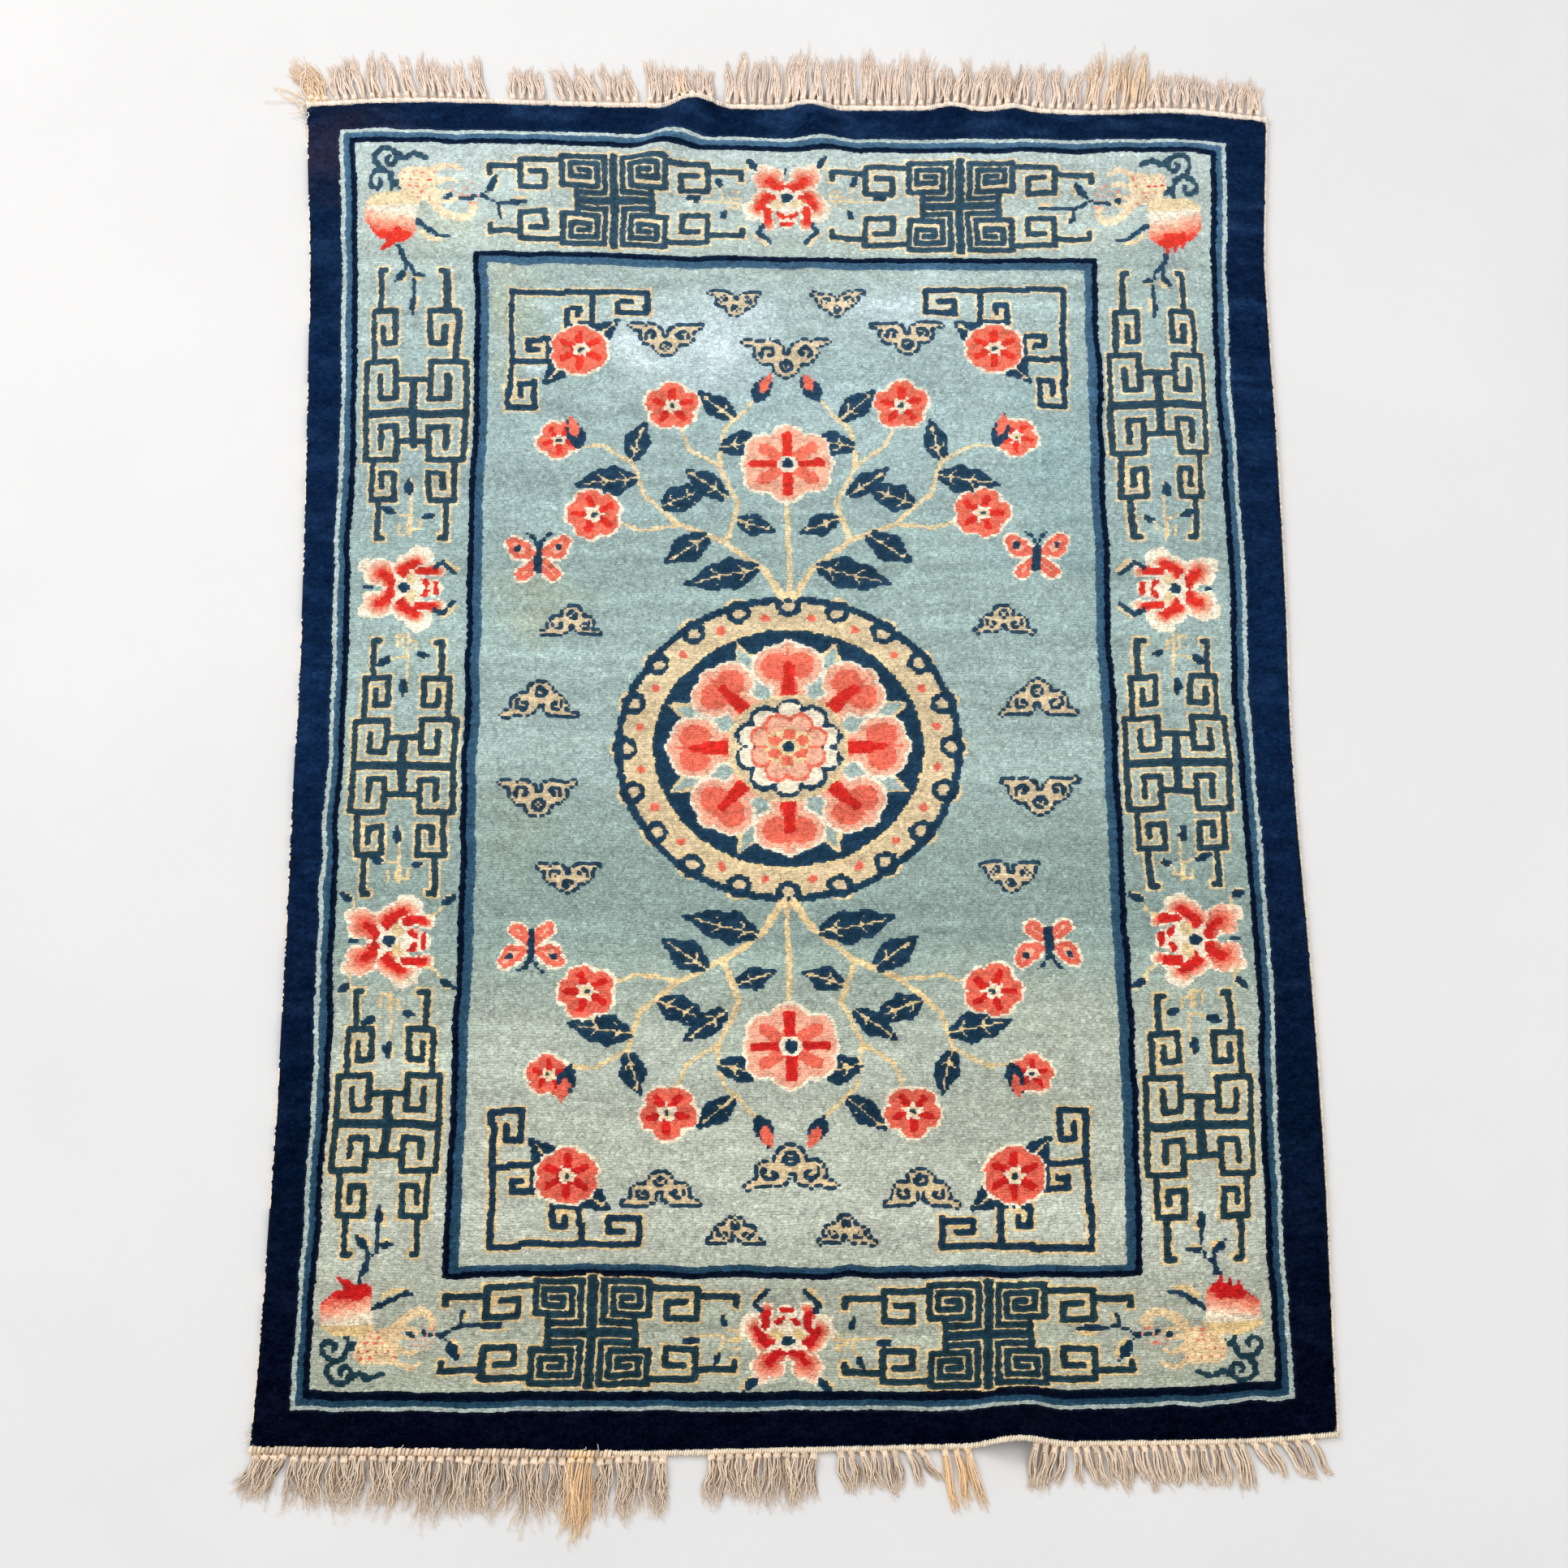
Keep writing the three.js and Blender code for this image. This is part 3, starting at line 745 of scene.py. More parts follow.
# Leaves between the lotus's petals: (foot, tip, half width, wool).
LOTUS_LEAVES = [((60, 0), (158, 0), 20, "tan"), ((66, 0), (150, 0), 14, "field")]
PETAL_LOBE = (112, 14, 26)
PETAL_SPINE = ([(70, 0), (136, 0)], 20, 9)
PETAL_LAYERS = [(4, "cream"), (0, "pink"), (-8, "coral")]
PETAL_HEART = ([(70, 0), (112, 0)], 9, 6)
# Rings of the rosette: (how far out, petals, radius, start, rim's wool, petals' wool).
ROSETTE = [
    (48, 10, 19, 0, "leaf", "cream"), (34, 8, 16, 0.5, "coral", "pink"),
    (18, 6, 12, 0, "tan", "coral"),
]
ROSETTE_RIM = 4


def around(count, start=0.0):
    """Folds a round design into one of its equal parts: along and across its ray."""
    part = 2 * math.pi / count
    angle = (turn - start * part + part / 2) % part - part / 2
    return from_middle * np.cos(angle), from_middle * np.sin(angle)


def rings(rows):
    for radius, wool in rows:
        paint(from_middle - radius, wool)


def medallion():
    """The round middle: a scalloped band, a ring of lotus petals and a rosette."""
    rings([(MEDALLION_RADIUS, "leaf"), (BAND_RADIUS, "sand")])
    ray, side = around(BAND_PARTS)
    for out, beside, radius, wool in SCALLOPS:
        paint(disc(ray, np.abs(side), out, beside, radius), wool)
    paint(np.maximum(BAND_RADIUS - from_middle, from_middle - MEDALLION_RADIUS), "leaf")
    paint(disc(*around(BAND_PARTS, 0.5), *BAND_DOT), "coral")
    rings(PETAL_RINGS)
    for foot, tip, half_width, wool in LOTUS_LEAVES:
        paint(leaf_shape(*around(LOTUS_PETALS, 0.5), foot, tip, half_width), wool)
    ray, side = around(LOTUS_PETALS)
    side = np.abs(side)
    petal = union([disc(ray, side, *PETAL_LOBE), stroke(ray, side, *PETAL_SPINE)])
    for swell, wool in PETAL_LAYERS:
        paint(petal - swell, wool)
    paint(stroke(ray, side, *PETAL_HEART), "red")
    rings(ROSETTE_RINGS)
    for out, count, radius, start, rim, body in ROSETTE:
        ray, side = around(count, start)
        paint(disc(ray, side, out, 0, radius), rim)
        paint(disc(ray, side, out, 0, radius - ROSETTE_RIM), body)
    rings(EYE_RINGS)


VEIN_HALF = 1.7
VEIN_SLANT = 0.8
# Shares of a leaf: its lobes' depth, and how far its rib and its veins reach.
VEINED_FULLNESS = 0.75
LEAF_LOBING = 0.12
RIB_REACH = 0.86
VEINS_ALONG = 0.8
VEINS_ACROSS = 0.62
LEAF_MARGIN = 3


def veined_leaf(base, tip, half_width, lobes):
    """A dark leaf with a tan rib and side veins, at both sides of the middle."""
    dx, dy = tip[0] - base[0], tip[1] - base[1]
    length = math.hypot(dx, dy)
    dx, dy = dx / length, dy / length
    along = (aside - base[0]) * dx + (ahead - base[1]) * dy
    across = np.abs((aside - base[0]) * dy - (ahead - base[1]) * dx)
    bumps = half_width * (1 + LEAF_LOBING * np.cos(along / length * 2 * math.pi * lobes))
    share = np.clip(along / length, 0, 1)
    body = across - bumps * np.sin(np.pi * share**VEINED_FULLNESS)
    body = np.maximum(body, np.maximum(-along, along - length))
    paint(body, "leaf")
    paint(np.maximum(across - VEIN_HALF, np.maximum(-along, along - RIB_REACH * length)), "tan")
    spacing = length / lobes
    veins = np.abs((along - across * VEIN_SLANT) % spacing - spacing / 2) - VEIN_HALF
    veins = np.maximum(veins, across - VEINS_ACROSS * half_width)
    within = np.maximum(body + LEAF_MARGIN, along - VEINS_ALONG * length)
    paint(np.maximum(veins, within), "tan")


# A blossom, in shares of its radius.
BLOSSOM_PETAL = (0.66, 0.12, 0.34)
BLOSSOM_HEART = (0.3, 0.7, 0.13)
BLOSSOM_EYE = [(0.27, "cream"), (0.18, "tan"), (0.09, "leaf")]
BLOSSOM_CREAM = 0.5
PALE_RIM = 3.5


def blossom(x, y, radius, petals, start):
    """An open blossom of round petals, at both sides of the middle."""
    part = 2 * math.pi / petals
    angle = (np.arctan2(aside - x, ahead - y) - start + part / 2) % part - part / 2
    reach = np.hypot(aside - x, ahead - y)
    ray, side = reach * np.cos(angle), np.abs(reach * np.sin(angle))
    petal = disc(ray, side, *(radius * share for share in BLOSSOM_PETAL))
    paint(petal - PALE_RIM, "cream")
    paint(reach - radius * BLOSSOM_CREAM, "cream")
    paint(petal, "coral")
    heart_start, heart_stop, heart_half = (radius * share for share in BLOSSOM_HEART)
    paint(stroke(ray, side, [(heart_start, 0), (heart_stop, 0)], heart_half), "red")
    for share, wool in BLOSSOM_EYE:
        paint(reach - radius * share, wool)


BUD_FLOWER_FROM = 0.3
BUD_HALF_WIDTHS = (11, 7)


def bud(foot, tip):
    flower = [start + (end - start) * BUD_FLOWER_FROM for start, end in zip(foot, tip)]
    paint(leaf_shape(aside, ahead, foot, tip, BUD_HALF_WIDTHS[0]), "leaf")
    paint(leaf_shape(aside, ahead, flower, tip, BUD_HALF_WIDTHS[1]), "coral")


# The sprays that rise from the medallion toward both ends: stems as (points, radius,
# end radius), leaves as (foot, tip, half width, lobes), blossoms as (aside, ahead,
# radius, start) and buds as (foot, tip).
STEMS = [
    ([(6, 206), (30, 246), (76, 286), (130, 310), (176, 352), (190, 400)], 4.5, 2.5),
    ([(76, 286), (60, 340), (84, 394), (78, 446), (40, 490)], 3.5, 2.2),
    ([(130, 310), (180, 304), (226, 322)], 3, 2),
    ([(84, 394), (120, 420), (136, 462)], 2.6, 2),
    ([(190, 400), (228, 424), (262, 422)], 2.6, 2),
    ([(0, 210), (0, 372)], 3.5, 3),
]
SPRAY_LEAVES = [
    ((34, 250), (128, 226), 21, 3), ((96, 296), (152, 254), 18, 2),
    ((64, 318), (14, 300), 14, 2), ((156, 336), (96, 366), 18, 3),
    ((184, 380), (262, 366), 19, 3), ((74, 350), (128, 392), 15, 2),
    ((84, 420), (20, 436), 17, 2), ((190, 402), (176, 462), 15, 2),
    ((66, 462), (112, 506), 15, 2),
]
SPRAY_PETALS = 5
SPRAY_BLOSSOMS = [(238, 326, 34, 0.3), (142, 482, 33, 0), (282, 434, 26, 0.6)]
SPRAY_BUDS = [((40, 488), (20, 530)), ((256, 420), (268, 470))]
# The great blossom on the middle stem, for one quarter of it.
GREAT_BLOSSOM_AT = 398
GREAT_MIDDLE = 20
GREAT_PETALS = [(30, 20, 20), (0, 34, 20), (36, 0, 18)]
GREAT_RIM = 4
GREAT_HEARTS = [
    ([(10, 8), (30, 22)], 8, "coral"), ([(0, 10), (0, 40)], 7, "red"), ([(10, 0), (42, 0)], 6, "red"),
]
GREAT_EYE = [(13, "cream"), (7, "leaf")]


def sprays():
    """Leafy sprays with their blossoms and buds."""
    for stem in STEMS:
        paint(stroke(aside, ahead, *stem), "tan")
    for leaf in SPRAY_LEAVES:
        veined_leaf(*leaf)
    for x, y, radius, start in SPRAY_BLOSSOMS:
        blossom(x, y, radius, SPRAY_PETALS, start)
    for foot, tip in SPRAY_BUDS:
        bud(foot, tip)


def great_blossom():
    """A large open blossom on the middle stem of each spray."""
    up = np.abs(ahead - GREAT_BLOSSOM_AT)
    petals = union(disc(aside, up, *petal) for petal in GREAT_PETALS)
    paint(np.minimum(petals, disc(aside, up, 0, 0, GREAT_MIDDLE)) - GREAT_RIM, "cream")
    paint(petals, "pink")
    for points, radius, wool in GREAT_HEARTS:
        paint(stroke(aside, up, points, radius), wool)
    for radius, wool in GREAT_EYE:
        paint(disc(aside, up, 0, 0, radius), wool)


# Clouds: (aside, ahead, size, the way they are up).
CLOUDS = [
    (300, 60, 1.15, 1), (262, 170, 0.9, 1), (150, 586, 1.1, -1), (0, 560, 1.3, -1),
    (64, 636, 0.8, -1),
]
CLOUD_HEAD = (0, 14, 13)
CLOUD_CURL = (17, 0, 13)
CLOUD_TAIL = ([(10, -4), (38, -12)], 6, 2)
CLOUD_RIM = 3.2
CLOUD_SPIRALS = [((17, 0, 2, 8, 0.2, 0.9), 1.9), ((0, 14, 1, 7, 0.25, 1.0), 1.8)]


def cloud(x, y, size, up):
    """A cloud with three curls, at both sides of the middle."""
    p, q = (aside - x) / size, (ahead - y) * up / size
    side = np.abs(p)
    body = union([disc(p, q, *CLOUD_HEAD), disc(side, q, *CLOUD_CURL), stroke(side, q, *CLOUD_TAIL)])
    paint(body * size - CLOUD_RIM, "leaf")
    paint(body, "sand")
    for form, radius in CLOUD_SPIRALS:
        paint(stroke(side, q, spiral(*form), radius), "leaf")


# The corner brackets, from the field's corner inward, with their blossom and leaves.
BRACKET_LINES = [
    [(26, 26), (26, 196), (58, 196), (58, 160), (42, 160), (42, 178)],
    [(26, 26), (196, 26), (196, 58), (160, 58), (160, 42), (178, 42)],
    [(26, 128), (74, 128), (74, 96), (50, 96), (50, 110), (60, 110)],
    [(128, 26), (128, 74), (96, 74), (96, 50), (110, 50), (110, 60)],
]
BRACKET_HALF = 3.4
BRACKET_BLOSSOM = (112, 36, 6)
BRACKET_LEAVES = [((-6, 8), (-52, 44)), ((8, -6), (44, -52))]
BRACKET_LEAF_HALF = 15
BRACKET_LEAF_LOBES = 2


def corner_bracket():
    """A key fret across each corner of the field, with a blossom inside it."""
    p = FIELD_HALF[0] - aside
    q = FIELD_HALF[1] - ahead
    dark = union(boxed(p, q, points, BRACKET_HALF) for points in BRACKET_LINES)
    paint(dark - BRACKET_HALF, "tan")
    paint(dark, "leaf")
    inset, radius, petals = BRACKET_BLOSSOM
    x, y = FIELD_HALF[0] - inset, FIELD_HALF[1] - inset
    for foot, tip in BRACKET_LEAVES:
        veined_leaf((x + foot[0], y + foot[1]), (x + tip[0], y + tip[1]), BRACKET_LEAF_HALF,
                    BRACKET_LEAF_LOBES)
    blossom(x, y, radius, petals, 0)


BUTTERFLY_AT = (304, 262)
UPPER_WING = ((22, 14, 13), ([(2, 2), (30, 24)], 7, 9))
LOWER_WING = ([(3, -4), (18, -20)], 7, 9)
WING_LAYERS = [(3.2, "cream"), (0, "coral"), (-7, "pink")]
WING_SPOT = (25, 17, 4)
FEELER = ([(0, 18), (7, 32), (14, 36)], 1.8)
BUTTERFLY_BODY = ([(0, -16), (0, 14)], 4)


def butterfly():
    """A butterfly at both sides of the middle, its head away from it."""
    side, q = np.abs(aside - BUTTERFLY_AT[0]), ahead - BUTTERFLY_AT[1]
    round_part, long_part = UPPER_WING
    upper = union([disc(side, q, *round_part), stroke(side, q, *long_part)])
    for wing in (upper, stroke(side, q, *LOWER_WING)):
        for swell, wool in WING_LAYERS:
            paint(wing - swell, wool)
    paint(disc(side, q, *WING_SPOT), "leaf")
    for part in (FEELER, BUTTERFLY_BODY):
        paint(stroke(side, q, *part), "leaf")


medallion()
sprays()
great_blossom()
for place in CLOUDS:
    cloud(*place)
butterfly()
corner_bracket()


# Shades of the wool: how it has faded, by bands of dye, patches, stains and knots, and painted light
# along it

SHADE_SEED = 11
# How wools have faded in bands across the rug, with painted light that lightens them toward the far
# end: (y, colour).
GROUND_FADES_AND_LIGHT = [
    (-850, (168, 172, 153)), (-720, (177, 179, 161)), (-650, (188, 191, 175)),
    (-550, (183, 187, 170)), (-430, (182, 189, 174)), (-344, (166, 177, 163)),
    (-270, (146, 164, 156)), (-165, (144, 162, 154)), (-84, (158, 176, 169)),
    (0, (166, 184, 177)), (200, (159, 180, 175)), (400, (162, 183, 180)),
    (520, (166, 187, 184)), (620, (172, 191, 186)), (700, (184, 198, 190)),
    (850, (192, 205, 200)),
]
NAVY_FADES_AND_LIGHT = [
    (-900, (0, 3, 19)), (-500, (4, 17, 39)), (0, (12, 34, 64)), (500, (11, 32, 62)),
    (900, (10, 30, 58)),
]
FADES_AND_LIGHT = {"field": GROUND_FADES_AND_LIGHT, "border ground": GROUND_FADES_AND_LIGHT, "navy": NAVY_FADES_AND_LIGHT}
# Soft patches: (x, y, half width, half length, tint, strength).
PATCHES = [
    (-196, 560, 110, 60, (232, 242, 246), 0.6),
    (-70, 560, 80, 70, (226, 240, 246), 0.45),
    (150, 620, 70, 40, (220, 236, 244), 0.4),
    (60, 480, 200, 120, (196, 218, 226), 0.2),
    (-350, 600, 46, 90, (186, 182, 140), 0.3),
    (-300, 190, 60, 40, (168, 160, 120), 0.3),
    (-470, 735, 60, 40, (196, 190, 140), 0.2),
    (-330, -120, 40, 60, (150, 150, 120), 0.2),
    (330, 300, 60, 180, (128, 168, 176), 0.2),
    (480, 690, 40, 60, (140, 150, 156), 0.35),
    (300, -420, 90, 120, (176, 180, 156), 0.2),
]
GROUNDS = ("field", "border ground")
# On the navy: wisps of lighter wool, fewer of them at the near end, and the red cast of
# the worn far left corner, a row like those of the patches.
WISP_TINT = (8, 10, 13)
WISP_GRAINS = [(16, 5, 1), (6, 3, 0.6)]
NEAR_WISPS = 0.3
WORN_NAVY = (-560, 850, 110, 70, (44, 36, 54), 0.8)
# Grains of noise, each (knots wide, knots long, strength): on the edges of patches
# and of worn navy, and in the speckle of dark wools.
PATCH_GRAINS = [(14, 9, 0.35)]
WORN_GRAINS = [(8, 5, 0.2)]
SPECKLE_GRAINS = [(4, 1.5, 0.8)]
DARK_SPECKLE = (2.5, 3.5, 4.5)
PATCH_REACH = 1.3
# How unevenly the wool took its dye: bands of rows, grains and single knots.
BAND_ROWS = 5
BAND_LIGHT = 0.035
LIGHT_GRAINS = [(60, 14, 0.02), (26, 3, 0.025), (5, 4, 0.02)]
KNOT_LIGHT = 0.06


def soft_noise(rng, size_x, size_y):
    """Smooth noise about 0 over the knots, its grains so many knots wide and long."""
    cells = rng.normal(size=(int(KNOTS_ALONG / size_y) + 3, int(KNOTS_ACROSS / size_x) + 3))
    y = (row + 0.5) / size_y
    x = (column + 0.5) / size_x
    j, i = np.floor(y).astype(int), np.floor(x).astype(int)
    v, u = y - j, x - i
    v, u = v * v * (3 - 2 * v), u * u * (3 - 2 * u)
    return ((cells[j, i] * (1 - u) + cells[j, i + 1] * u) * (1 - v)
            + (cells[j + 1, i] * (1 - u) + cells[j + 1, i + 1] * u) * v)


def graded_noise(rng, grains):
    """Soft noises of several grains, added up."""
    return sum(strength * soft_noise(rng, wide, long) for wide, long, strength in grains)


def tinted(colour, shown, patch, noise):
    x, y, half_width, half_length, tint, strength = patch
    reach = np.hypot((knot_x - x) / half_width, (knot_y - y) / half_length) + noise
    amount = (shown * strength * np.clip(PATCH_REACH - reach, 0, 1))[..., None]
    return colour + (np.array(tint, float) - colour) * amount


def worked_in(names):
    """Where the knots are of one of these wools."""
    return np.isin(chart, [WOOL_NAMES.index(name) for name in names])


def shades():
    """Each knot's colour as shown on a screen, from 0 to 1."""
    rng = np.random.default_rng(SHADE_SEED)
    near = np.array([WOOLS[name][0] for name in WOOL_NAMES], float)[chart]
    far = np.array([WOOLS[name][1] for name in WOOL_NAMES], float)[chart]
    # Painted light and sheen: each wool goes from its near colour to its lighter far colour.
    share = row / KNOTS_ALONG
    colour = near + (far - near) * share[..., None]
    # Fading and painted light along the rug, for the grounds and the navy.
    for name, rows in FADES_AND_LIGHT.items():
        places = [place for place, _ in rows]
        faded_and_lit = [np.interp(knot_y, places, [tone[i] for _, tone in rows]) for i in range(3)]
        colour = np.where(worked_in([name])[..., None], np.stack(faded_and_lit, -1), colour)
    grounds = worked_in(GROUNDS)
    is_navy = worked_in(["navy"])
    wisps = np.clip(graded_noise(rng, WISP_GRAINS), 0, 2) * (NEAR_WISPS + (1 - NEAR_WISPS) * share)
    colour += (is_navy * wisps)[..., None] * np.array(WISP_TINT)
    colour = tinted(colour, is_navy, WORN_NAVY, graded_noise(rng, WORN_GRAINS))
    for patch in PATCHES:
        colour = tinted(colour, grounds, patch, graded_noise(rng, PATCH_GRAINS))
    bands = np.convolve(rng.normal(size=KNOTS_ALONG), np.ones(BAND_ROWS) / BAND_ROWS, "same")
    speckle = rng.normal(size=chart.shape) + graded_noise(rng, SPECKLE_GRAINS)
    colour += (worked_in(DARK_WOOLS) * speckle)[..., None] * np.array(DARK_SPECKLE)
    light = 1 + BAND_LIGHT * bands[:, None] + graded_noise(rng, LIGHT_GRAINS)
    light = light + KNOT_LIGHT * rng.normal(size=chart.shape)
    return np.clip(colour * light[..., None] / 255, 0, 1)


def linear(colour):
    """Colours as shown on a screen, from 0 to 1, as light."""
    colour = np.asarray(colour, float)
    return np.where(colour < 0.04045, colour / 12.92, ((colour + 0.055) / 1.055) ** 2.4)


# Meshes

def new_mesh(name, points, faces, smooth=True):
    """An object from points in millimetres and arrays of faces, one row a face."""
    mesh = bpy.data.meshes.new(name)
    mesh.vertices.add(len(points))
    mesh.vertices.foreach_set("co", np.asarray(points, np.float32).ravel() * np.float32(MM))
    corners = np.concatenate([np.asarray(part, np.int32).ravel() for part in faces])
    sides = np.concatenate([np.full(len(part), len(part[0])) for part in faces])
    mesh.loops.add(len(corners))
    mesh.loops.foreach_set("vertex_index", corners)
    mesh.polygons.add(len(sides))
    mesh.polygons.foreach_set("loop_start", np.r_[0, np.cumsum(sides)[:-1]].astype(np.int32))
    mesh.polygons.foreach_set("use_smooth", np.full(len(sides), smooth))
    mesh.update(calc_edges=True)
    piece = bpy.data.objects.new(name, mesh)
    bpy.context.scene.collection.objects.link(piece)
    return piece


def colour_corners(piece, name, colours):
    """Gives every corner of every face its colour, as light."""
    values = np.ones((len(piece.data.loops), 4), np.float32)
    values[:, :3] = colours
    attribute = piece.data.color_attributes.new(name, "FLOAT_COLOR", "CORNER")
    attribute.data.foreach_set("color", values.ravel())


def colour_faces(piece, name, colours):
    sides = np.zeros(len(piece.data.polygons), np.int32)
    piece.data.polygons.foreach_get("loop_total", sides)
    colour_corners(piece, name, np.repeat(colours, sides, axis=0))


def plan_map(piece, name, u, v):
    """A UV map from a value for each of the piece's points."""
    mesh = piece.data
    corners = np.zeros(len(mesh.loops), np.int32)
    mesh.loops.foreach_get("vertex_index", corners)
    uv = np.stack([np.ravel(u)[corners], np.ravel(v)[corners]], 1).astype(np.float32)
    mesh.uv_layers.new(name=name).data.foreach_set("uv", uv.ravel())


MAP_MARGIN = 0.002


def bake_map(piece):
    """The piece's plan, fitted to the unit square, as its plain map."""
    points = np.zeros(len(piece.data.vertices) * 3, np.float32)
    piece.data.vertices.foreach_get("co", points)
    points = points.reshape(-1, 3)[:, :2]
    low, high = points.min(0), points.max(0)
    share = MAP_MARGIN + (1 - 2 * MAP_MARGIN) * (points - low) / (high - low)
    plan_map(piece, "OFBake", share[:, 0], share[:, 1])


# The pile: one face for each knot

PILE_SEED = 5
KNOT_SWAY = (0.7, 0.4)
KNOT_RISE = 0.32
SWELL_GRAINS = [(7, 5, 0.4)]
WAVER = 1.1
WAVER_GRAIN = (9, 13)
# Knots nearer to the rug's edge than this waver less.
FREE_FROM = 3
# How far steps are drawn in, and how far dark tufts spread over light ones beside
# them, in knots.
STEP_SMOOTHING = 0.3
DARK_SPREAD = (0.18, 0.28)
TUFT_MIXING = 0.2
OVERHANG_LEFT = 1.5
RIM_RAGGED = 0.7
RIM_GRAINS = [(1, 3), (3, 1)]
# The pile's sides reach down to this height over the underside.
SKIRT_FOOT = 1.2


def smooth_outlines(x, y):
    """Draws the steps between two wools' knots toward an even line."""
    differs_across = np.zeros((KNOTS_ALONG + 1, KNOTS_ACROSS + 1), bool)
    differs_along = differs_across.copy()
    differs_along[:-1, 1:-1] = chart[:, 1:] != chart[:, :-1]
    differs_across[1:-1, :-1] = chart[1:] != chart[:-1]
    total_x, total_y, count = np.zeros_like(x), np.zeros_like(y), np.zeros(x.shape)
    for edges, axis in ((differs_along, 0), (differs_across, 1)):
        for step in (1, -1):
            linked = edges if step == 1 else np.roll(edges, 1, axis)
            total_x += linked * np.roll(x, -step, axis)
            total_y += linked * np.roll(y, -step, axis)
            count += linked
    drawn = np.where(count == 2, STEP_SMOOTHING, 0)
    x = x + drawn * (total_x / np.maximum(count, 1) - x)
    y = y + drawn * (total_y / np.maximum(count, 1) - y)
    dark = np.pad(worked_in(DARK_WOOLS).astype(float), 1, "edge")
    left, right = dark[:, :-1], dark[:, 1:]
    x = x + DARK_SPREAD[0] * (left[1:] + left[:-1] - right[1:] - right[:-1]) / 2
    below, above = dark[:-1], dark[1:]
    y = y + DARK_SPREAD[1] * (below[:, 1:] + below[:, :-1] - above[:, 1:] - above[:, :-1]) / 2
    return x, y


def stray(side, along, from_edge):
    """How far the woven lines near a side stray from straight."""
    total = 0
    for name, span, rows in STRAYS:
        if name == side:
            places, amounts = zip(*rows)
            shown = np.interp(from_edge, span, (0, 1, 1, 0))
            total = total + shown * np.interp(along, places, amounts)
    return total


def at_corners(noise):
    """Noise over the knots, carried to their corners."""
    return np.pad(noise, ((0, 1), (0, 1)), "edge")


def pile_points():
    """Places of the knots' corners in millimetres, on the rug's plain plan too."""
    rng = np.random.default_rng(PILE_SEED)
    i, j = np.meshgrid(np.arange(KNOTS_ACROSS + 1.0), np.arange(KNOTS_ALONG + 1.0))
    smooth_i, smooth_j = smooth_outlines(i, j)
    straight_x = (smooth_i / KNOTS_ACROSS - 0.5) * RUG_WIDTH
    straight_y = (smooth_j / KNOTS_ALONG - 0.5) * RUG_LENGTH
    plain_x = (straight_x + stray("left", straight_y, i)
               + stray("right", straight_y, KNOTS_ACROSS - i))
    plain_y = (straight_y + stray("near", straight_x, j)
               + stray("far", straight_x, KNOTS_ALONG - j))
    at_edge = np.minimum(np.minimum(i, KNOTS_ACROSS - i), np.minimum(j, KNOTS_ALONG - j))
    free = np.clip(at_edge / FREE_FROM, 0, 1)
    waver_x, waver_y = (at_corners(soft_noise(rng, *WAVER_GRAIN)) for _ in range(2))
    plain_x = plain_x + free * (WAVER * waver_x + KNOT_SWAY[0] * rng.normal(size=i.shape))
    plain_y = plain_y + free * (WAVER * waver_y + KNOT_SWAY[1] * rng.normal(size=i.shape))
    from_edge = np.minimum(RUG_WIDTH / 2 - np.abs(plain_x), RUG_LENGTH / 2 - np.abs(plain_y))
    top = RUG_THICKNESS - RIM_DROP * np.clip(1 - from_edge / RIM_INSET, 0, 1) ** 2
    top = top + KNOT_RISE * rng.normal(size=i.shape)
    top = top + at_corners(graded_noise(rng, SWELL_GRAINS))
    x, y = place_on_floor(*round_corner(plain_x, plain_y))
    ragged_x, ragged_y = (
        RIM_RAGGED * np.abs(rng.normal(size=i.shape) + at_corners(soft_noise(rng, *grain)))
        for grain in RIM_GRAINS)
    x += ragged_x * ((i == KNOTS_ACROSS) * 1.0 - (i == 0))
    y += ragged_y * ((j == KNOTS_ALONG) * 1.0 - (j == 0))
    return plain_x, plain_y, x, y, lift(plain_x, plain_y) + top, smooth_i, smooth_j


def corner_colours(wool):
    """Each knot's colour at its four corners, drawn toward its neighbours' there."""
    padded = np.pad(wool, ((1, 1), (1, 1), (0, 0)), "edge")
    meeting = (padded[:-1, :-1] + padded[1:, :-1] + padded[:-1, 1:] + padded[1:, 1:]) / 4
    around = np.stack([meeting[:-1, :-1], meeting[:-1, 1:], meeting[1:, 1:], meeting[1:, :-1]], 2)
    return wool[:, :, None] * (1 - TUFT_MIXING) + around * TUFT_MIXING


def quads(columns, rows):
    """A grid's faces as rows of corner numbers, its rows of points one after another."""
    first = (np.arange(rows)[:, None] * (columns + 1) + np.arange(columns)).ravel()
    return np.stack([first, first + 1, first + columns + 2, first + columns + 1], 1)


def rim_ring(columns, rows):
    """The outermost points' numbers of such a grid, all round it and turning left."""
    wide = columns + 1
    south = np.arange(wide)
    east = np.arange(1, rows + 1) * wide + columns
    north = rows * wide + np.arange(columns - 1, -1, -1)
    west = np.arange(rows - 1, 0, -1) * wide
    return np.concatenate([south, east, north, west])


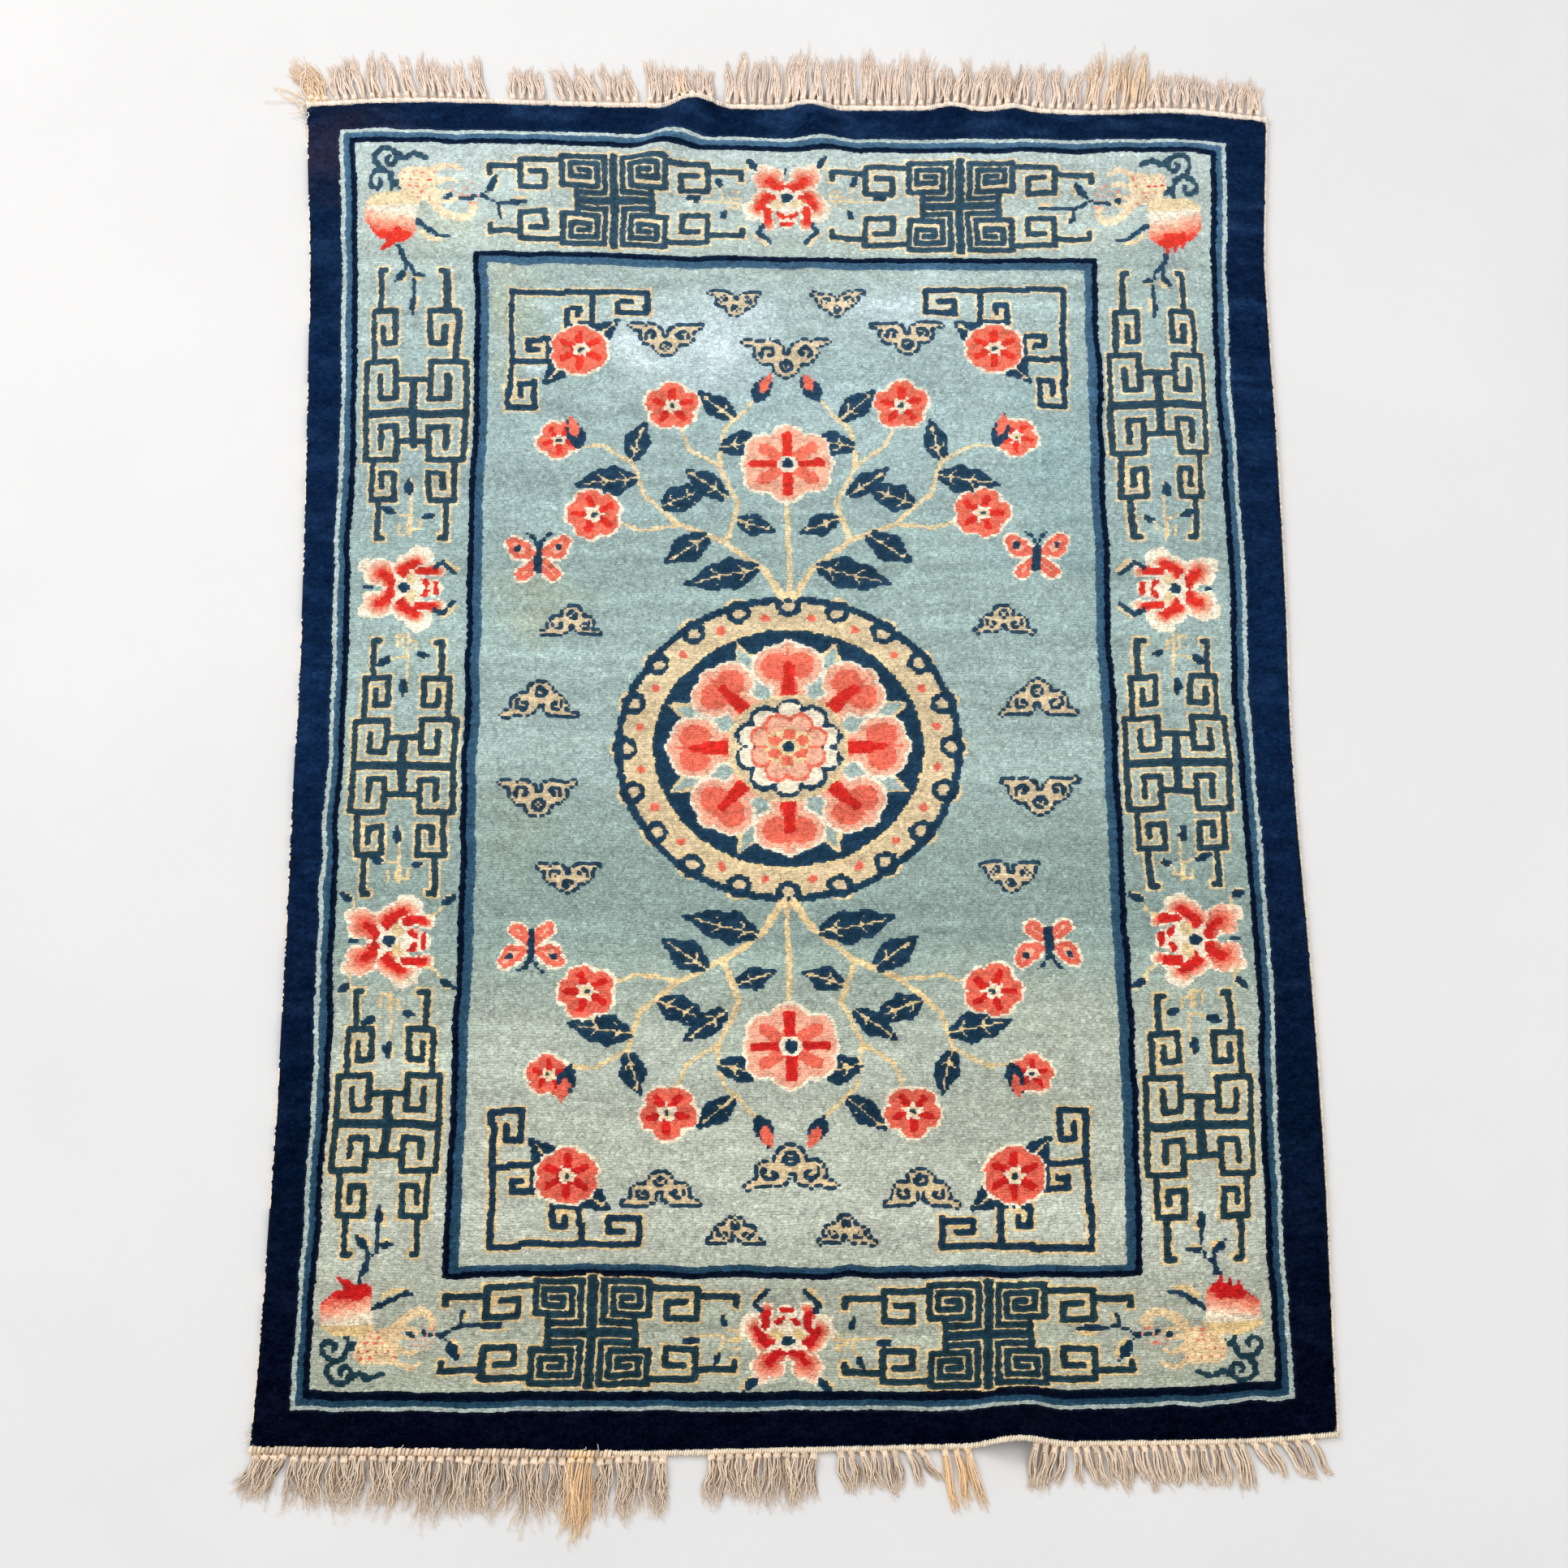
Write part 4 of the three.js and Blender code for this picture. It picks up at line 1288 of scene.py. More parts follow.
def build_pile():
    plain_x, plain_y, x, y, z, grid_i, grid_j = pile_points()
    underside = lift(plain_x, plain_y)
    over = np.zeros_like(x)
    over[:, 0] = OVERHANG_LEFT
    over[:, 1] = OVERHANG_LEFT / 2
    all_points = np.stack([(x - over).ravel(), y.ravel(), z.ravel()], 1)
    all_grid = np.stack([grid_i.ravel(), grid_j.ravel()], 1)
    wool = linear(corner_colours(shades()))
    band = ~inside_stripe(BORDER_STRIPE)
    field = inside_stripe(FIELD_STRIPE)
    parts = {"pile_outer_band": band, "pile_border": ~band & ~field, "pile_field": field}
    pieces = []
    for name, shown in parts.items():
        used, faces = np.unique(quads(KNOTS_ACROSS, KNOTS_ALONG)[shown.ravel()], return_inverse=True)
        faces = [faces.reshape(-1, 4)]
        points = all_points[used]
        grid = all_grid[used]
        colours = wool[shown]
        if shown is band:
            ring = rim_ring(KNOTS_ACROSS, KNOTS_ALONG)
            top = np.searchsorted(used, ring)
            foot = len(used) + np.arange(len(ring))
            foot_points = np.stack([x.ravel()[ring], y.ravel()[ring],
                                    underside.ravel()[ring] + SKIRT_FOOT], 1)
            points = np.concatenate([points, foot_points])
            grid = np.concatenate([grid, grid[top]])
            faces.append(np.stack([foot, np.roll(foot, -1), np.roll(top, -1), top], 1))
            navy = linear(np.array(WOOLS["navy"], float).mean(0) / 255)
            colours = np.concatenate([colours, np.tile(navy, (len(ring), 4, 1))])
        piece = new_mesh(name, points, faces)
        colour_corners(piece, "Wool", colours.reshape(-1, 3))
        bake_map(piece)
        plan_map(piece, "KnotGrid", grid[:, 0], grid[:, 1])
        pieces.append(piece)
    return pieces


# The foundation: the woven cotton under the pile

FOUNDATION_THICKNESS = 3
FOUNDATION_INSET = 0.8
FOUNDATION_COLUMNS = 96
FOUNDATION_ROWS = 144


def build_foundation():
    half_x = RUG_WIDTH / 2 - FOUNDATION_INSET
    half_y = RUG_LENGTH / 2 - FOUNDATION_INSET
    plain_x, plain_y = np.meshgrid(np.linspace(-half_x, half_x, FOUNDATION_COLUMNS + 1),
                                   np.linspace(-half_y, half_y, FOUNDATION_ROWS + 1))
    x, y = place_on_floor(*round_corner(plain_x, plain_y))
    low = lift(plain_x, plain_y)
    top = quads(FOUNDATION_COLUMNS, FOUNDATION_ROWS)
    ring = rim_ring(FOUNDATION_COLUMNS, FOUNDATION_ROWS)
    under = top[:, ::-1] + x.size
    wall = np.stack([ring + x.size, np.roll(ring, -1) + x.size, np.roll(ring, -1), ring], 1)
    points = np.concatenate([
        np.stack([x.ravel(), y.ravel(), low.ravel() + FOUNDATION_THICKNESS], 1),
        np.stack([x.ravel(), y.ravel(), low.ravel()], 1),
    ])
    piece = new_mesh("foundation", points, [top, under, wall])
    bake_map(piece)
    plan_map(piece, "KnotGrid", np.tile(plain_x.ravel() / RUG_WIDTH * KNOTS_ACROSS, 2),
             np.tile(plain_y.ravel() / RUG_LENGTH * KNOTS_ALONG, 2))
    return piece


# Yarns

def tubes(paths, radii, sides, reference):
    """Closed tubes along paths of equal length, as points and faces."""
    paths = np.asarray(paths, float)
    count, steps, _ = paths.shape
    radii = np.broadcast_to(radii, (count, steps))
    ahead = np.gradient(paths, axis=1)
    ahead /= np.linalg.norm(ahead, axis=2, keepdims=True)
    side = np.cross(ahead, reference)
    side /= np.linalg.norm(side, axis=2, keepdims=True)
    up = np.cross(side, ahead)
    angle = 2 * np.pi * np.arange(sides) / sides
    ring = (side[:, :, None] * np.cos(angle)[:, None] + up[:, :, None] * np.sin(angle)[:, None])
    points = paths[:, :, None] + ring * radii[:, :, None, None]
    start = (np.arange(count)[:, None, None] * steps + np.arange(steps - 1)[:, None]) * sides
    here = np.arange(sides)
    after = (here + 1) % sides
    walls = np.stack([start + here, start + sides + here, start + sides + after, start + after], -1)
    base = np.arange(count)[:, None] * steps * sides
    caps = np.concatenate([base + here, base + (steps - 1) * sides + here[::-1]])
    return points.reshape(-1, 3), walls.reshape(-1, 4), caps


class YarnPile:
    """Gathers tubes with their colours, to make one piece of them."""

    def __init__(self):
        self.points, self.faces, self.colours, self.total = [], [], [], 0

    def add(self, paths, radii, sides, reference, colours):
        """Adds a tube along each path, with a colour for each path or each step."""
        points, walls, caps = tubes(paths, radii, sides, reference)
        colours = np.asarray(colours, float)
        if colours.ndim < 3:
            colours = np.broadcast_to(colours, (len(paths), 3))[:, None]
        colours = np.broadcast_to(colours, (len(paths), len(paths[0]) - 1, 3))
        self.faces += [walls + self.total, caps + self.total]
        self.colours += [np.repeat(colours.reshape(-1, 3), sides, axis=0),
                         colours[:, 0], colours[:, -1]]
        self.points.append(points)
        self.total += len(points)

    def piece(self, name):
        made = new_mesh(name, np.concatenate(self.points), self.faces)
        colour_faces(made, "Wool", np.concatenate(self.colours))
        return made


# Yarns, as WOOLS has them; their far colours are lighter in part with painted light.
YARNS = {
    "cotton": ((255, 234, 210), (255, 236, 220)),
    "soiled cotton": ((244, 218, 190), (248, 226, 206)),
    "orange": ((255, 222, 178), (255, 230, 198)),
    "cream": ((255, 238, 212), (254, 238, 220)),
    "navy": ((10, 18, 42), (22, 34, 64)),
}
# Ways of overcasting: (distance between turns, the yarn's radius, unevenness).
FINE_TURNS = (2.9, 1.5, 0.18)
LOOPED_TURNS = (4.6, 2.4, 0.2)
LOOP_SHADE = 0.94
SIDE_TURNS = (3.4, 1.5, 0.09)
TURN_STEPS = 8
TURN_SIDES = 5
# How much of a turn's own swelling its yarn's thickness takes up.
THICKNESS_SWELL = 0.1
LEAST_REACH = 0.2
# The dark core that fills a cord.
# A core in painted shade fills a cord: a dark tube that shows between its turns.
CORE_STEP = 15
CORE_INSET = 1.8
CORE_LEAST = 0.8
CORE_SHADE = 0.3
# How far single yarns are lighter or darker.
YARN_UNEVEN = 0.06
SOILED_UNEVEN = 0.08
NAVY_UNEVEN = 0.12
# Where navy turns are worn: waves of (millimetres for each radian, start, strength),
# how ragged they are, and the sum from which the cream shows.
WORN_WAVES = [(47, 0, 1), (19, 1, 0.8)]
WORN_RAGGED = 0.5
WORN_FROM = -0.2
UP = np.array([0, 0, 1.0])


def edge_place(edge, along):
    """A point of an edge, its lift and the way out of the rug there."""
    if edge in ("left", "right"):
        out = 1 if edge == "right" else -1
        plain_x, plain_y = np.full(along.shape, out * RUG_WIDTH / 2), along
        outward = np.array([out, 0, 0])
    else:
        out = 1 if edge == "far" else -1
        plain_x, plain_y = along, np.full(along.shape, out * RUG_LENGTH / 2)
        outward = np.array([0, out, 0])
    x, y = place_on_floor(plain_x, plain_y)
    return np.stack([x, y, lift(plain_x, plain_y)], -1), outward


def overcast(yarns, edge, start, stop, size, turning, colour_of, rng):
    """Adds a cord wrapped turn by turn along an edge. colour_of gives a colour for
    each of its turns from their places along it and from near to far."""
    width, height = size
    pitch, thickness, spread = turning
    turns = int((stop - start) / pitch)
    steps = turns * TURN_STEPS + 1
    along = np.linspace(start, stop, steps)
    angle = 2 * np.pi * np.arange(steps) / TURN_STEPS
    place, outward = edge_place(edge, along)
    turn_of = np.minimum(np.arange(steps) // TURN_STEPS, turns - 1)
    swell = (1 + spread * rng.normal(size=turns).clip(-2, 2))[turn_of]
    middle = PIECE_GAP + width / 2
    radius = thickness * (1 - THICKNESS_SWELL + THICKNESS_SWELL * swell)
    reach = np.maximum(width / 2 - thickness, LEAST_REACH)
    path = place + outward * (middle + reach * np.cos(angle) * swell)[:, None]
    path[:, 2] += height / 2 + (height / 2 - thickness) * np.sin(angle) * np.minimum(swell, 1)
    reference = np.array([0.0, 1, 0]) if outward[0] else np.array([1.0, 0, 0])
    far = place[::TURN_STEPS, 1][:turns] / RUG_LENGTH + 0.5
    turn_colours = linear(colour_of(along[::TURN_STEPS][:turns], far, rng))
    yarns.add(path[None], radius[None], TURN_SIDES, reference, turn_colours[turn_of[:-1]][None])
    # The core is painted shade, dark where the turns part.
    core_along = np.linspace(start, stop, int((stop - start) / CORE_STEP) + 2)
    core_place, _ = edge_place(edge, core_along)
    core = core_place + outward * middle + UP * height / 2
    core_radius = max(min(width, height) / 2 - CORE_INSET, CORE_LEAST)
    yarns.add(core[None], core_radius, TURN_SIDES, UP, turn_colours.mean(0) * CORE_SHADE)


def yarn_colour(name, far):
    """A yarn's colour at a place from the near end, 0, to the far end, 1."""
    at_near, at_far = (np.array(shown) / 255 for shown in YARNS[name])
    return at_near + (at_far - at_near) * np.reshape(far, (-1, 1))


def uneven(colour, rng, spread=YARN_UNEVEN):
    """Yarn colours, each a little lighter or darker but never past white."""
    factor = 1 + spread * rng.normal(size=(len(colour), 1))
    return colour * np.clip(factor, 0, 1 / colour.max(1, keepdims=True))


def cream_turns(along, far, rng):
    return uneven(yarn_colour("cream", far), rng)


def cotton_turns(along, far, rng):
    """Soiled cotton turns, orange where the end was mended."""
    mended = (along > MENDED[0]) & (along < MENDED[1])
    cotton = uneven(LOOP_SHADE * yarn_colour("soiled cotton", far), rng, SOILED_UNEVEN)
    return np.where(mended[:, None], uneven(yarn_colour("orange", far), rng), cotton)


def worn_navy_turns(along, far, rng):
    """Navy turns, with worn places where the cream cotton shows."""
    navy = uneven(yarn_colour("navy", far), rng, NAVY_UNEVEN)
    cream = uneven(yarn_colour("cream", far), rng)
    worn = sum(strength * np.sin(along / wave + start) for wave, start, strength in WORN_WAVES)
    worn = worn + WORN_RAGGED * rng.normal(size=len(along))
    return np.where((worn > WORN_FROM)[:, None], cream, navy)


# Fringe. A lock leaves its binding as three strands, is tied, and falls open into
# yarns. Its looseness is 0 where the yarns are brushed straight and 1 where they
# wander. Where a pair isn't explained, it is a value and what is added to that with
# looseness.

LOCK_YARNS = 18
# The share of light that reaches the undermost yarns, at the near and far end, and
# how the yarns come out of the others' shade toward their tips.
UNDERMOST = {-1: (0.54, 0.46, 0.38), 1: (0.82, 0.76, 0.7)}
ORANGE_UNDERMOST = (0.92, 0.8, 0.68)
COMING_OUT = 1.5
# The share of its length over which a lock comes down from a ripple.
FALL_SHARE = 0.5
ROOT_DEPTH = 2.5
# Strands, from the root to the tie: their spacing and height.
STRAND_SPACING = (2.8, 1.8)
STRAND_HEIGHT = (3, 3.4)
STRAND_RADIUS = 1.9
STRAND_OVERLAP = 2
STRAND_STEPS = 4
STRAND_SIDES = 5
STRAND_SHADE = 0.8
# Ties: (turns, how far out they wind, the yarn's radius, spacing), and the looseness
# from which a tie is a loose one.
TIES = {"loose": (1.6, 2.5, 2.3, 0.42), "brushed": (2.2, 2.1, 1.9, 0.75)}
LOOSE_FROM = 0.5
TIE_SPREAD = 4.5
TIE_LENGTH = 8
TIE_START = 0.15
TIE_HEIGHT = 4.6
TIE_FLATNESS = 0.8
# The tie's thickness at its ends, and how much more it is in the middle.
TIE_SWELL = (0.8, 0.35)
TIE_STEPS = 15
TIE_SIDES = 6
# Yarns: where in the tie they start, and their lengths in shares of the lock's.
YARNS_FROM = 0.7
YARN_SHARE = {-1: 0.98, 1: 1.2}
LOOSE_SHARE = 0.14
YARN_SPREAD = (0.07, 0.08)
SHORTEST_YARN = 12
YARN_STEPS = 13
YARN_SIDES = 3
YARN_RADIUS = 0.8
BRUSHED_RADIUS = 0.4
TIP_RADIUS = 0.35
# How a lock spreads from its tie and, if brushed, draws in again at its tip.
TIE_BREADTH = 2.8
OPENING = (1.4, 3.2)
OPENING_RATE = 4
TIP_GATHER = 0.7
# How far a whole lock sways, in half a turn to a whole one, and how single yarns wave,
# as (width, turns), and wander.
SWAY = (2.2, 2.5)
SWAY_TURNS = (0.5, 0.5)
WAVES = [((0.3, 1.3), (1, 1)), ((0.1, 0.7), (2, 2))]
WANDER = (1.2, 3.2)
WAVE_GROWTH = 0.7
# The undermost tip's height, how much higher the uppermost tip is, and how much higher
# yarns are at the tie, as (the undermost one, what is added for the uppermost).
LOWEST_TIP = 0.7
TIP_LAYERS = 1.2
AT_TIE = (0.6, 4.4)
SETTLING = 1.2
# How yarns rise and dip on the floor.
DIPPING = (0.2, 0.5)
DIPPING_TURNS = 1.7


def grown(pair, share):
    """A pair's first value, with a share of its second added."""
    return pair[0] + pair[1] * share


def lock_colours(end, orange, rng):
    """Colours along each yarn of a lock, colours of its soiled strands, and how high
    each yarn lies among the others, from 0 to 1."""
    is_orange = rng.random(LOCK_YARNS) < orange
    far = np.full(LOCK_YARNS, (end + 1) / 2)
    base = np.where(is_orange[:, None], yarn_colour("orange", far), yarn_colour("cotton", far))
    layer = rng.permutation(LOCK_YARNS) / (LOCK_YARNS - 1)
    under = np.where(is_orange[:, None], ORANGE_UNDERMOST, UNDERMOST[end])[:, None]
    bare = np.linspace(0, 1, YARN_STEPS - 1) ** COMING_OUT
    lit = np.maximum(layer[:, None], bare)[..., None]
    colours = linear(uneven(base, rng)[:, None] * (under + (1 - under) * lit))
    soiled = np.where(is_orange[:, None], base, yarn_colour("soiled cotton", far))
    return colours, linear(uneven(soiled, rng)), layer


def lock(yarns, end, root_x, length, lean, orange, loose, rng):
    """One lock: strands out of the binding, their tie, and the yarns beyond it."""
    plain_x, plain_y = np.array([root_x]), np.array([end * RUG_LENGTH / 2])
    edge_x, edge_y = place_on_floor(plain_x, plain_y)
    raised = float(lift(plain_x, plain_y)[0])
    near_backing = LOOPED_SIZE[0] if root_x < LOOPED_TO else BINDING_WIDTH
    backing = FAR_SIZE[0] if end > 0 else near_backing
    root = np.array([edge_x[0], edge_y[0] + end * (PIECE_GAP + backing - ROOT_DEPTH), 0])
    angle = math.radians(lean)
    along = np.array([math.sin(angle), end * math.cos(angle), 0])
    across = np.array([along[1], -along[0], 0])

    def path(reach, sideways, height):
        """Points along the lock, which comes down from a ripple as it goes."""
        height = height + raised * np.clip(1 - reach / (FALL_SHARE * length), 0, 1)
        return root + along * reach[:, None] + across * sideways[:, None] + UP * height[:, None]

    colours, soiled, layer = lock_colours(end, orange, rng)
    tie_at = ROOT_DEPTH + TIE_SPREAD * rng.random() * loose
    reach = np.linspace(0, tie_at + STRAND_OVERLAP, STRAND_STEPS)
    spacing = np.linspace(*STRAND_SPACING, STRAND_STEPS)
    height = np.linspace(*STRAND_HEIGHT, STRAND_STEPS)
    strands = [path(reach, side * spacing, height) for side in (-1, 0, 1)]
    yarns.add(strands, STRAND_RADIUS, STRAND_SIDES, UP, soiled[:3] * STRAND_SHADE)

    turns, coil, thickness, spacing = TIES["loose" if loose > LOOSE_FROM else "brushed"]
    t = np.linspace(0, 1, TIE_STEPS)
    wrap = 2 * np.pi * (turns * t + rng.random())
    tie = path(tie_at + TIE_LENGTH * (TIE_START + spacing * t), coil * np.cos(wrap),
               TIE_HEIGHT + coil * TIE_FLATNESS * np.sin(wrap))
    swell = grown(TIE_SWELL, np.sin(np.pi * t))
    yarns.add([tie], thickness * swell, TIE_SIDES, along, soiled[:1])

    t = np.linspace(0, 1, YARN_STEPS)
    order = (np.arange(LOCK_YARNS) + 0.5) / LOCK_YARNS * 2 - 1
    sway_turns = grown(SWAY_TURNS, rng.random())
    sway = grown(SWAY, loose) * np.sin(2 * np.pi * (sway_turns * t + rng.random()))
    breadth = (TIE_BREADTH + grown(OPENING, loose) * (1 - np.exp(-OPENING_RATE * t))
               - TIP_GATHER * (1 - loose) * t**2)
    first = tie_at + TIE_LENGTH * (TIE_START + YARNS_FROM * spacing)
    share = YARN_SHARE[end] - LOOSE_SHARE * loose
    paths = []
    for k in range(LOCK_YARNS):
        own = share * (1 + grown(YARN_SPREAD, loose) * rng.normal())
        last = max(length * own + ROOT_DEPTH, first + SHORTEST_YARN)
        phases = 2 * np.pi * rng.random(3)
        wave = sum(grown(width, loose) * np.sin(2 * np.pi * grown(waves, loose) * t + phase)
                   for (width, waves), phase in zip(WAVES, phases))
        wander = grown(WANDER, loose) * rng.normal() * t**2
        sideways = order[k] * breadth + (sway + wave) * t**WAVE_GROWTH + wander
        height = LOWEST_TIP + grown(AT_TIE, layer[k]) * (1 - t) ** SETTLING + TIP_LAYERS * layer[k]
        dips = 1 + np.sin(2 * np.pi * DIPPING_TURNS * t + phases[2])
        height = height + grown(DIPPING, loose) * t * dips
        paths.append(path(first + (last - first) * t, sideways, height))
    thick = YARN_RADIUS + BRUSHED_RADIUS * (1 - loose)
    yarns.add(paths, thick + (TIP_RADIUS - thick) * t**2, YARN_SIDES, UP, colours)


THREAD_BEND = 0.25
THREAD_RISE = 0.4


def loose_threads(yarns, threads, rng):
    """Thin frayed threads, wavering as they curl."""
    t = np.linspace(0, 1, THREAD_STEPS)
    for x, y, z, length, bearing, curl, yarn, radius in threads:
        bends = THREAD_BEND * np.cumsum(rng.normal(size=len(t)))
        turn = math.radians(bearing) + math.radians(curl) * t + bends
        step = length / (THREAD_STEPS - 1)
        path_x = x + step * np.cumsum(np.cos(turn))
        path_y = y + step * np.cumsum(np.sin(turn))
        path = np.stack([path_x, path_y, z + THREAD_RISE * np.sin(2 * np.pi * t)], -1)
        colour = linear(yarn_colour(yarn, y / RUG_LENGTH + 0.5))
        yarns.add([path], radius, YARN_SIDES, UP, colour)


# Lengths and leans are shuffled by the locks' numbers, which start here at each end.
FIRST_LOCK = {-1: 2, 1: 501}
LENGTH_SPREAD = 0.14
LEAN_SPREAD = 4
LOOSE_LEAN = 4
LEAN_SHIFT = 0.5
# The single orange lock is the one whose root is this near to its place.
ORANGE_LOCK_REACH = 5


def build_fringe(name, end, groups, threads):
    yarns = YarnPile()
    rng = np.random.default_rng(SEEDS[name])
    number = FIRST_LOCK[end]
    for start, stop, count, length, lean, orange, loose in groups:
        for root_x in np.linspace(start, stop, count):
            dyed = end > 0 and abs(root_x - ORANGE_LOCK) < ORANGE_LOCK_REACH
            longer = LENGTH_SPREAD * shuffled(number * SHUFFLE[0])
            swing = (LEAN_SPREAD + LOOSE_LEAN * loose) * shuffled((number + LEAN_SHIFT) * SHUFFLE[0])
            lock(yarns, end, root_x, length * (1 + longer), lean + swing, 1 if dyed else orange,
                 loose, rng)
            number += 1
    loose_threads(yarns, threads, np.random.default_rng(SEEDS[name]))
    return yarns.piece(name)


# Materials

SHEEN_ROUGHNESS = 0.5
# The part of a noise's range that is spread out to its full effect.
NOISE_RANGE = (0.3, 0.7)


class Look:
    """A material and short words for what shades it."""

    def __init__(self, name, roughness, sheen, specular):
        self.material = bpy.data.materials.new(name)
        self.material.use_nodes = True
        self.tree = self.material.node_tree
        self.surface = self.tree.nodes["Principled BSDF"]
        self.surface.inputs["Roughness"].default_value = roughness
        self.surface.inputs["Sheen Weight"].default_value = sheen
        self.surface.inputs["Sheen Roughness"].default_value = SHEEN_ROUGHNESS
        self.surface.inputs["Specular IOR Level"].default_value = specular

    def node(self, kind, settings=(), **inputs):
        made = self.tree.nodes.new("ShaderNode" + kind)
        for key, value in dict(settings).items():
            setattr(made, key, value)
        for key, value in inputs.items():
            slot = made.inputs[int(key[1:]) if key[1:].isdigit() else key.replace("_", " ")]
            if isinstance(value, bpy.types.NodeSocket):
                self.tree.links.new(value, slot)
            else:
                slot.default_value = value
        return made

    def math(self, operation, a, b=0.0, c=0.0):
        return self.node("Math", {"operation": operation}, i0=a, i1=b, i2=c).outputs[0]

    def vector(self, operation, a, b):
        return self.node("VectorMath", {"operation": operation}, i0=a, i1=b).outputs[0]

    def noise(self, place, scale, detail, roughness):
        return self.node("TexNoise", Vector=place, Scale=scale, Detail=detail,
                         Roughness=roughness).outputs["Fac"]

    def spread(self, value, low, high, to_low, to_high):
        """The value's range from low to high, stretched to another range."""
        return self.node("MapRange", {"clamp": True}, i0=value, i1=low, i2=high, i3=to_low,
                         i4=to_high).outputs[0]

    def shade(self, colour, amount):
        """The colour made lighter or darker by a factor."""
        return self.node("VectorMath", {"operation": "SCALE"}, i0=colour, i3=amount).outputs[0]

    def colour(self, socket):
        self.tree.links.new(socket, self.surface.inputs["Base Color"])

    def bump(self, height, strength, distance):
        made = self.node("Bump", Height=height, Strength=strength, Distance=distance)
        self.tree.links.new(made.outputs[0], self.surface.inputs["Normal"])


# The pile's grain, on a map whose unit is one knot.
TUFT_WAVER = (0.9, 0.7, 0.0)
WAVER_SCALE = 0.9
TUFTS_PER_KNOT = 1.25
TUFT_SCATTER = 0.8
FIBRE_GRAIN = (2.6, 3.6, 1.0)
TIP_GRAIN = (1.9, 2.6, 1.0)
PATCH_GRAIN = (0.3, 0.9, 1.0)
# A tuft's reach from its middle, from full height to none.
TUFT_REACH = (0.1, 0.75)
# Where the partings between rows, dark with painted shade, start and are full: in knots
# from the row's middle, and in the noise of the patches that have them.
PARTING = (0.28, 0.5)
PARTING_PATCHES = (0.4, 0.6)
# What tufts, each tuft's own tone and partings do to the light, as (how much, what is
# added), and the least and most that fibres add.
# The darkening of tufts toward their edges and of the partings is painted shade.
TUFT_LIGHT = (0.22, 0.93)
OWN_LIGHT = (0.26, -0.13)
PARTING_LIGHT = (-0.42, 1.06)
FIBRE_LIGHT = (-0.2, 0.2)
# Painted glints: highlights on the fibre tips, added to the wool's colour, and where they show.
GLINT = (0.008, 0.018, 0.036)
GLINTS = (0.57, 0.76)
# How crisp the tufts, their painted shade and the painted glints look at the near and the far end.
CRISPNESS = (1.5, 0.9)
TUFT_HEIGHT = 0.7
FIBRE_HEIGHT = 0.6
PARTING_DEPTH = 0.5
PILE_BUMP = (0.6, 0.0016)


def pile_look():
    """Cut wool pile: tufts on the knots' grid with painted shade at their edges, partings between
    rows in painted shade, fibres and painted glints.
    """
    look = Look("cut wool pile", roughness=0.95, sheen=0.02, specular=0.0)
    wool = look.node("Attribute", {"attribute_name": "Wool"}).outputs["Color"]
    grid = look.node("UVMap", {"uv_map": "KnotGrid"}).outputs[0]
    waver = look.node("TexNoise", Vector=grid, Scale=WAVER_SCALE, Detail=1.0).outputs["Color"]
    waver = look.vector("SUBTRACT", waver, (0.5, 0.5, 0.5))
    bent = look.vector("ADD", grid, look.vector("MULTIPLY", waver, TUFT_WAVER))
    cells = look.node("TexVoronoi", {"voronoi_dimensions": "2D"}, Vector=bent,
                      Scale=TUFTS_PER_KNOT, Randomness=TUFT_SCATTER)
    tuft = look.spread(cells.outputs["Distance"], *TUFT_REACH, 1.0, 0.0)
    own = look.node("SeparateColor", i0=cells.outputs["Color"]).outputs[0]
    fibres = look.noise(look.vector("MULTIPLY", grid, FIBRE_GRAIN), 1.0, detail=2.0, roughness=0.7)
    patches = look.noise(look.vector("MULTIPLY", grid, PATCH_GRAIN), 1.0, detail=3.0, roughness=0.7)
    along = look.node("SeparateXYZ", i0=bent).outputs[1]
    away = look.math("ABSOLUTE", look.math("SUBTRACT", look.math("FRACT", along), 0.5))
    parting = look.math("MULTIPLY", look.spread(away, *PARTING, 0.0, 1.0),
                        look.spread(patches, *PARTING_PATCHES, 0.0, 1.0))
    # Tufts darken toward their edges and partings darken the rows: painted shade.
    light = look.math("MULTIPLY_ADD", tuft, *TUFT_LIGHT)
    light = look.math("ADD", light, look.math("MULTIPLY_ADD", own, *OWN_LIGHT))
    light = look.math("ADD", light, look.spread(fibres, *NOISE_RANGE, *FIBRE_LIGHT))
    light = look.math("MULTIPLY", light, look.math("MULTIPLY_ADD", parting, *PARTING_LIGHT))
    # Painted glints of light on the fibre tips.
    tips = look.noise(look.vector("MULTIPLY", grid, TIP_GRAIN), 1.0, detail=3.0, roughness=0.75)
    crisp = look.spread(look.node("SeparateXYZ", i0=grid).outputs[1], 0.0, KNOTS_ALONG, *CRISPNESS)
    light = look.math("MULTIPLY_ADD", look.math("SUBTRACT", light, 1.0), crisp, 1.0)
    glints = look.math("MULTIPLY", look.spread(tips, *GLINTS, 0.0, 1.0), crisp)
    look.colour(look.vector("ADD", look.shade(wool, light), look.shade(GLINT, glints)))
    height = look.math("ADD", look.math("MULTIPLY", tuft, TUFT_HEIGHT),
                       look.math("MULTIPLY", fibres, FIBRE_HEIGHT))
    height = look.math("SUBTRACT", height, look.math("MULTIPLY", parting, PARTING_DEPTH))
    look.bump(height, *PILE_BUMP)
    return look.material


# A yarn's plies and soiling, on a map in metres.
PLY_GRAIN = (700.0, 260.0, 500.0)
PLY_LIGHT = (0.94, 1.28)
SOIL_SCALE = 55.0
SOIL_LIGHT = (-0.06, 0.06)
PLY_BUMP = (0.9, 0.0008)


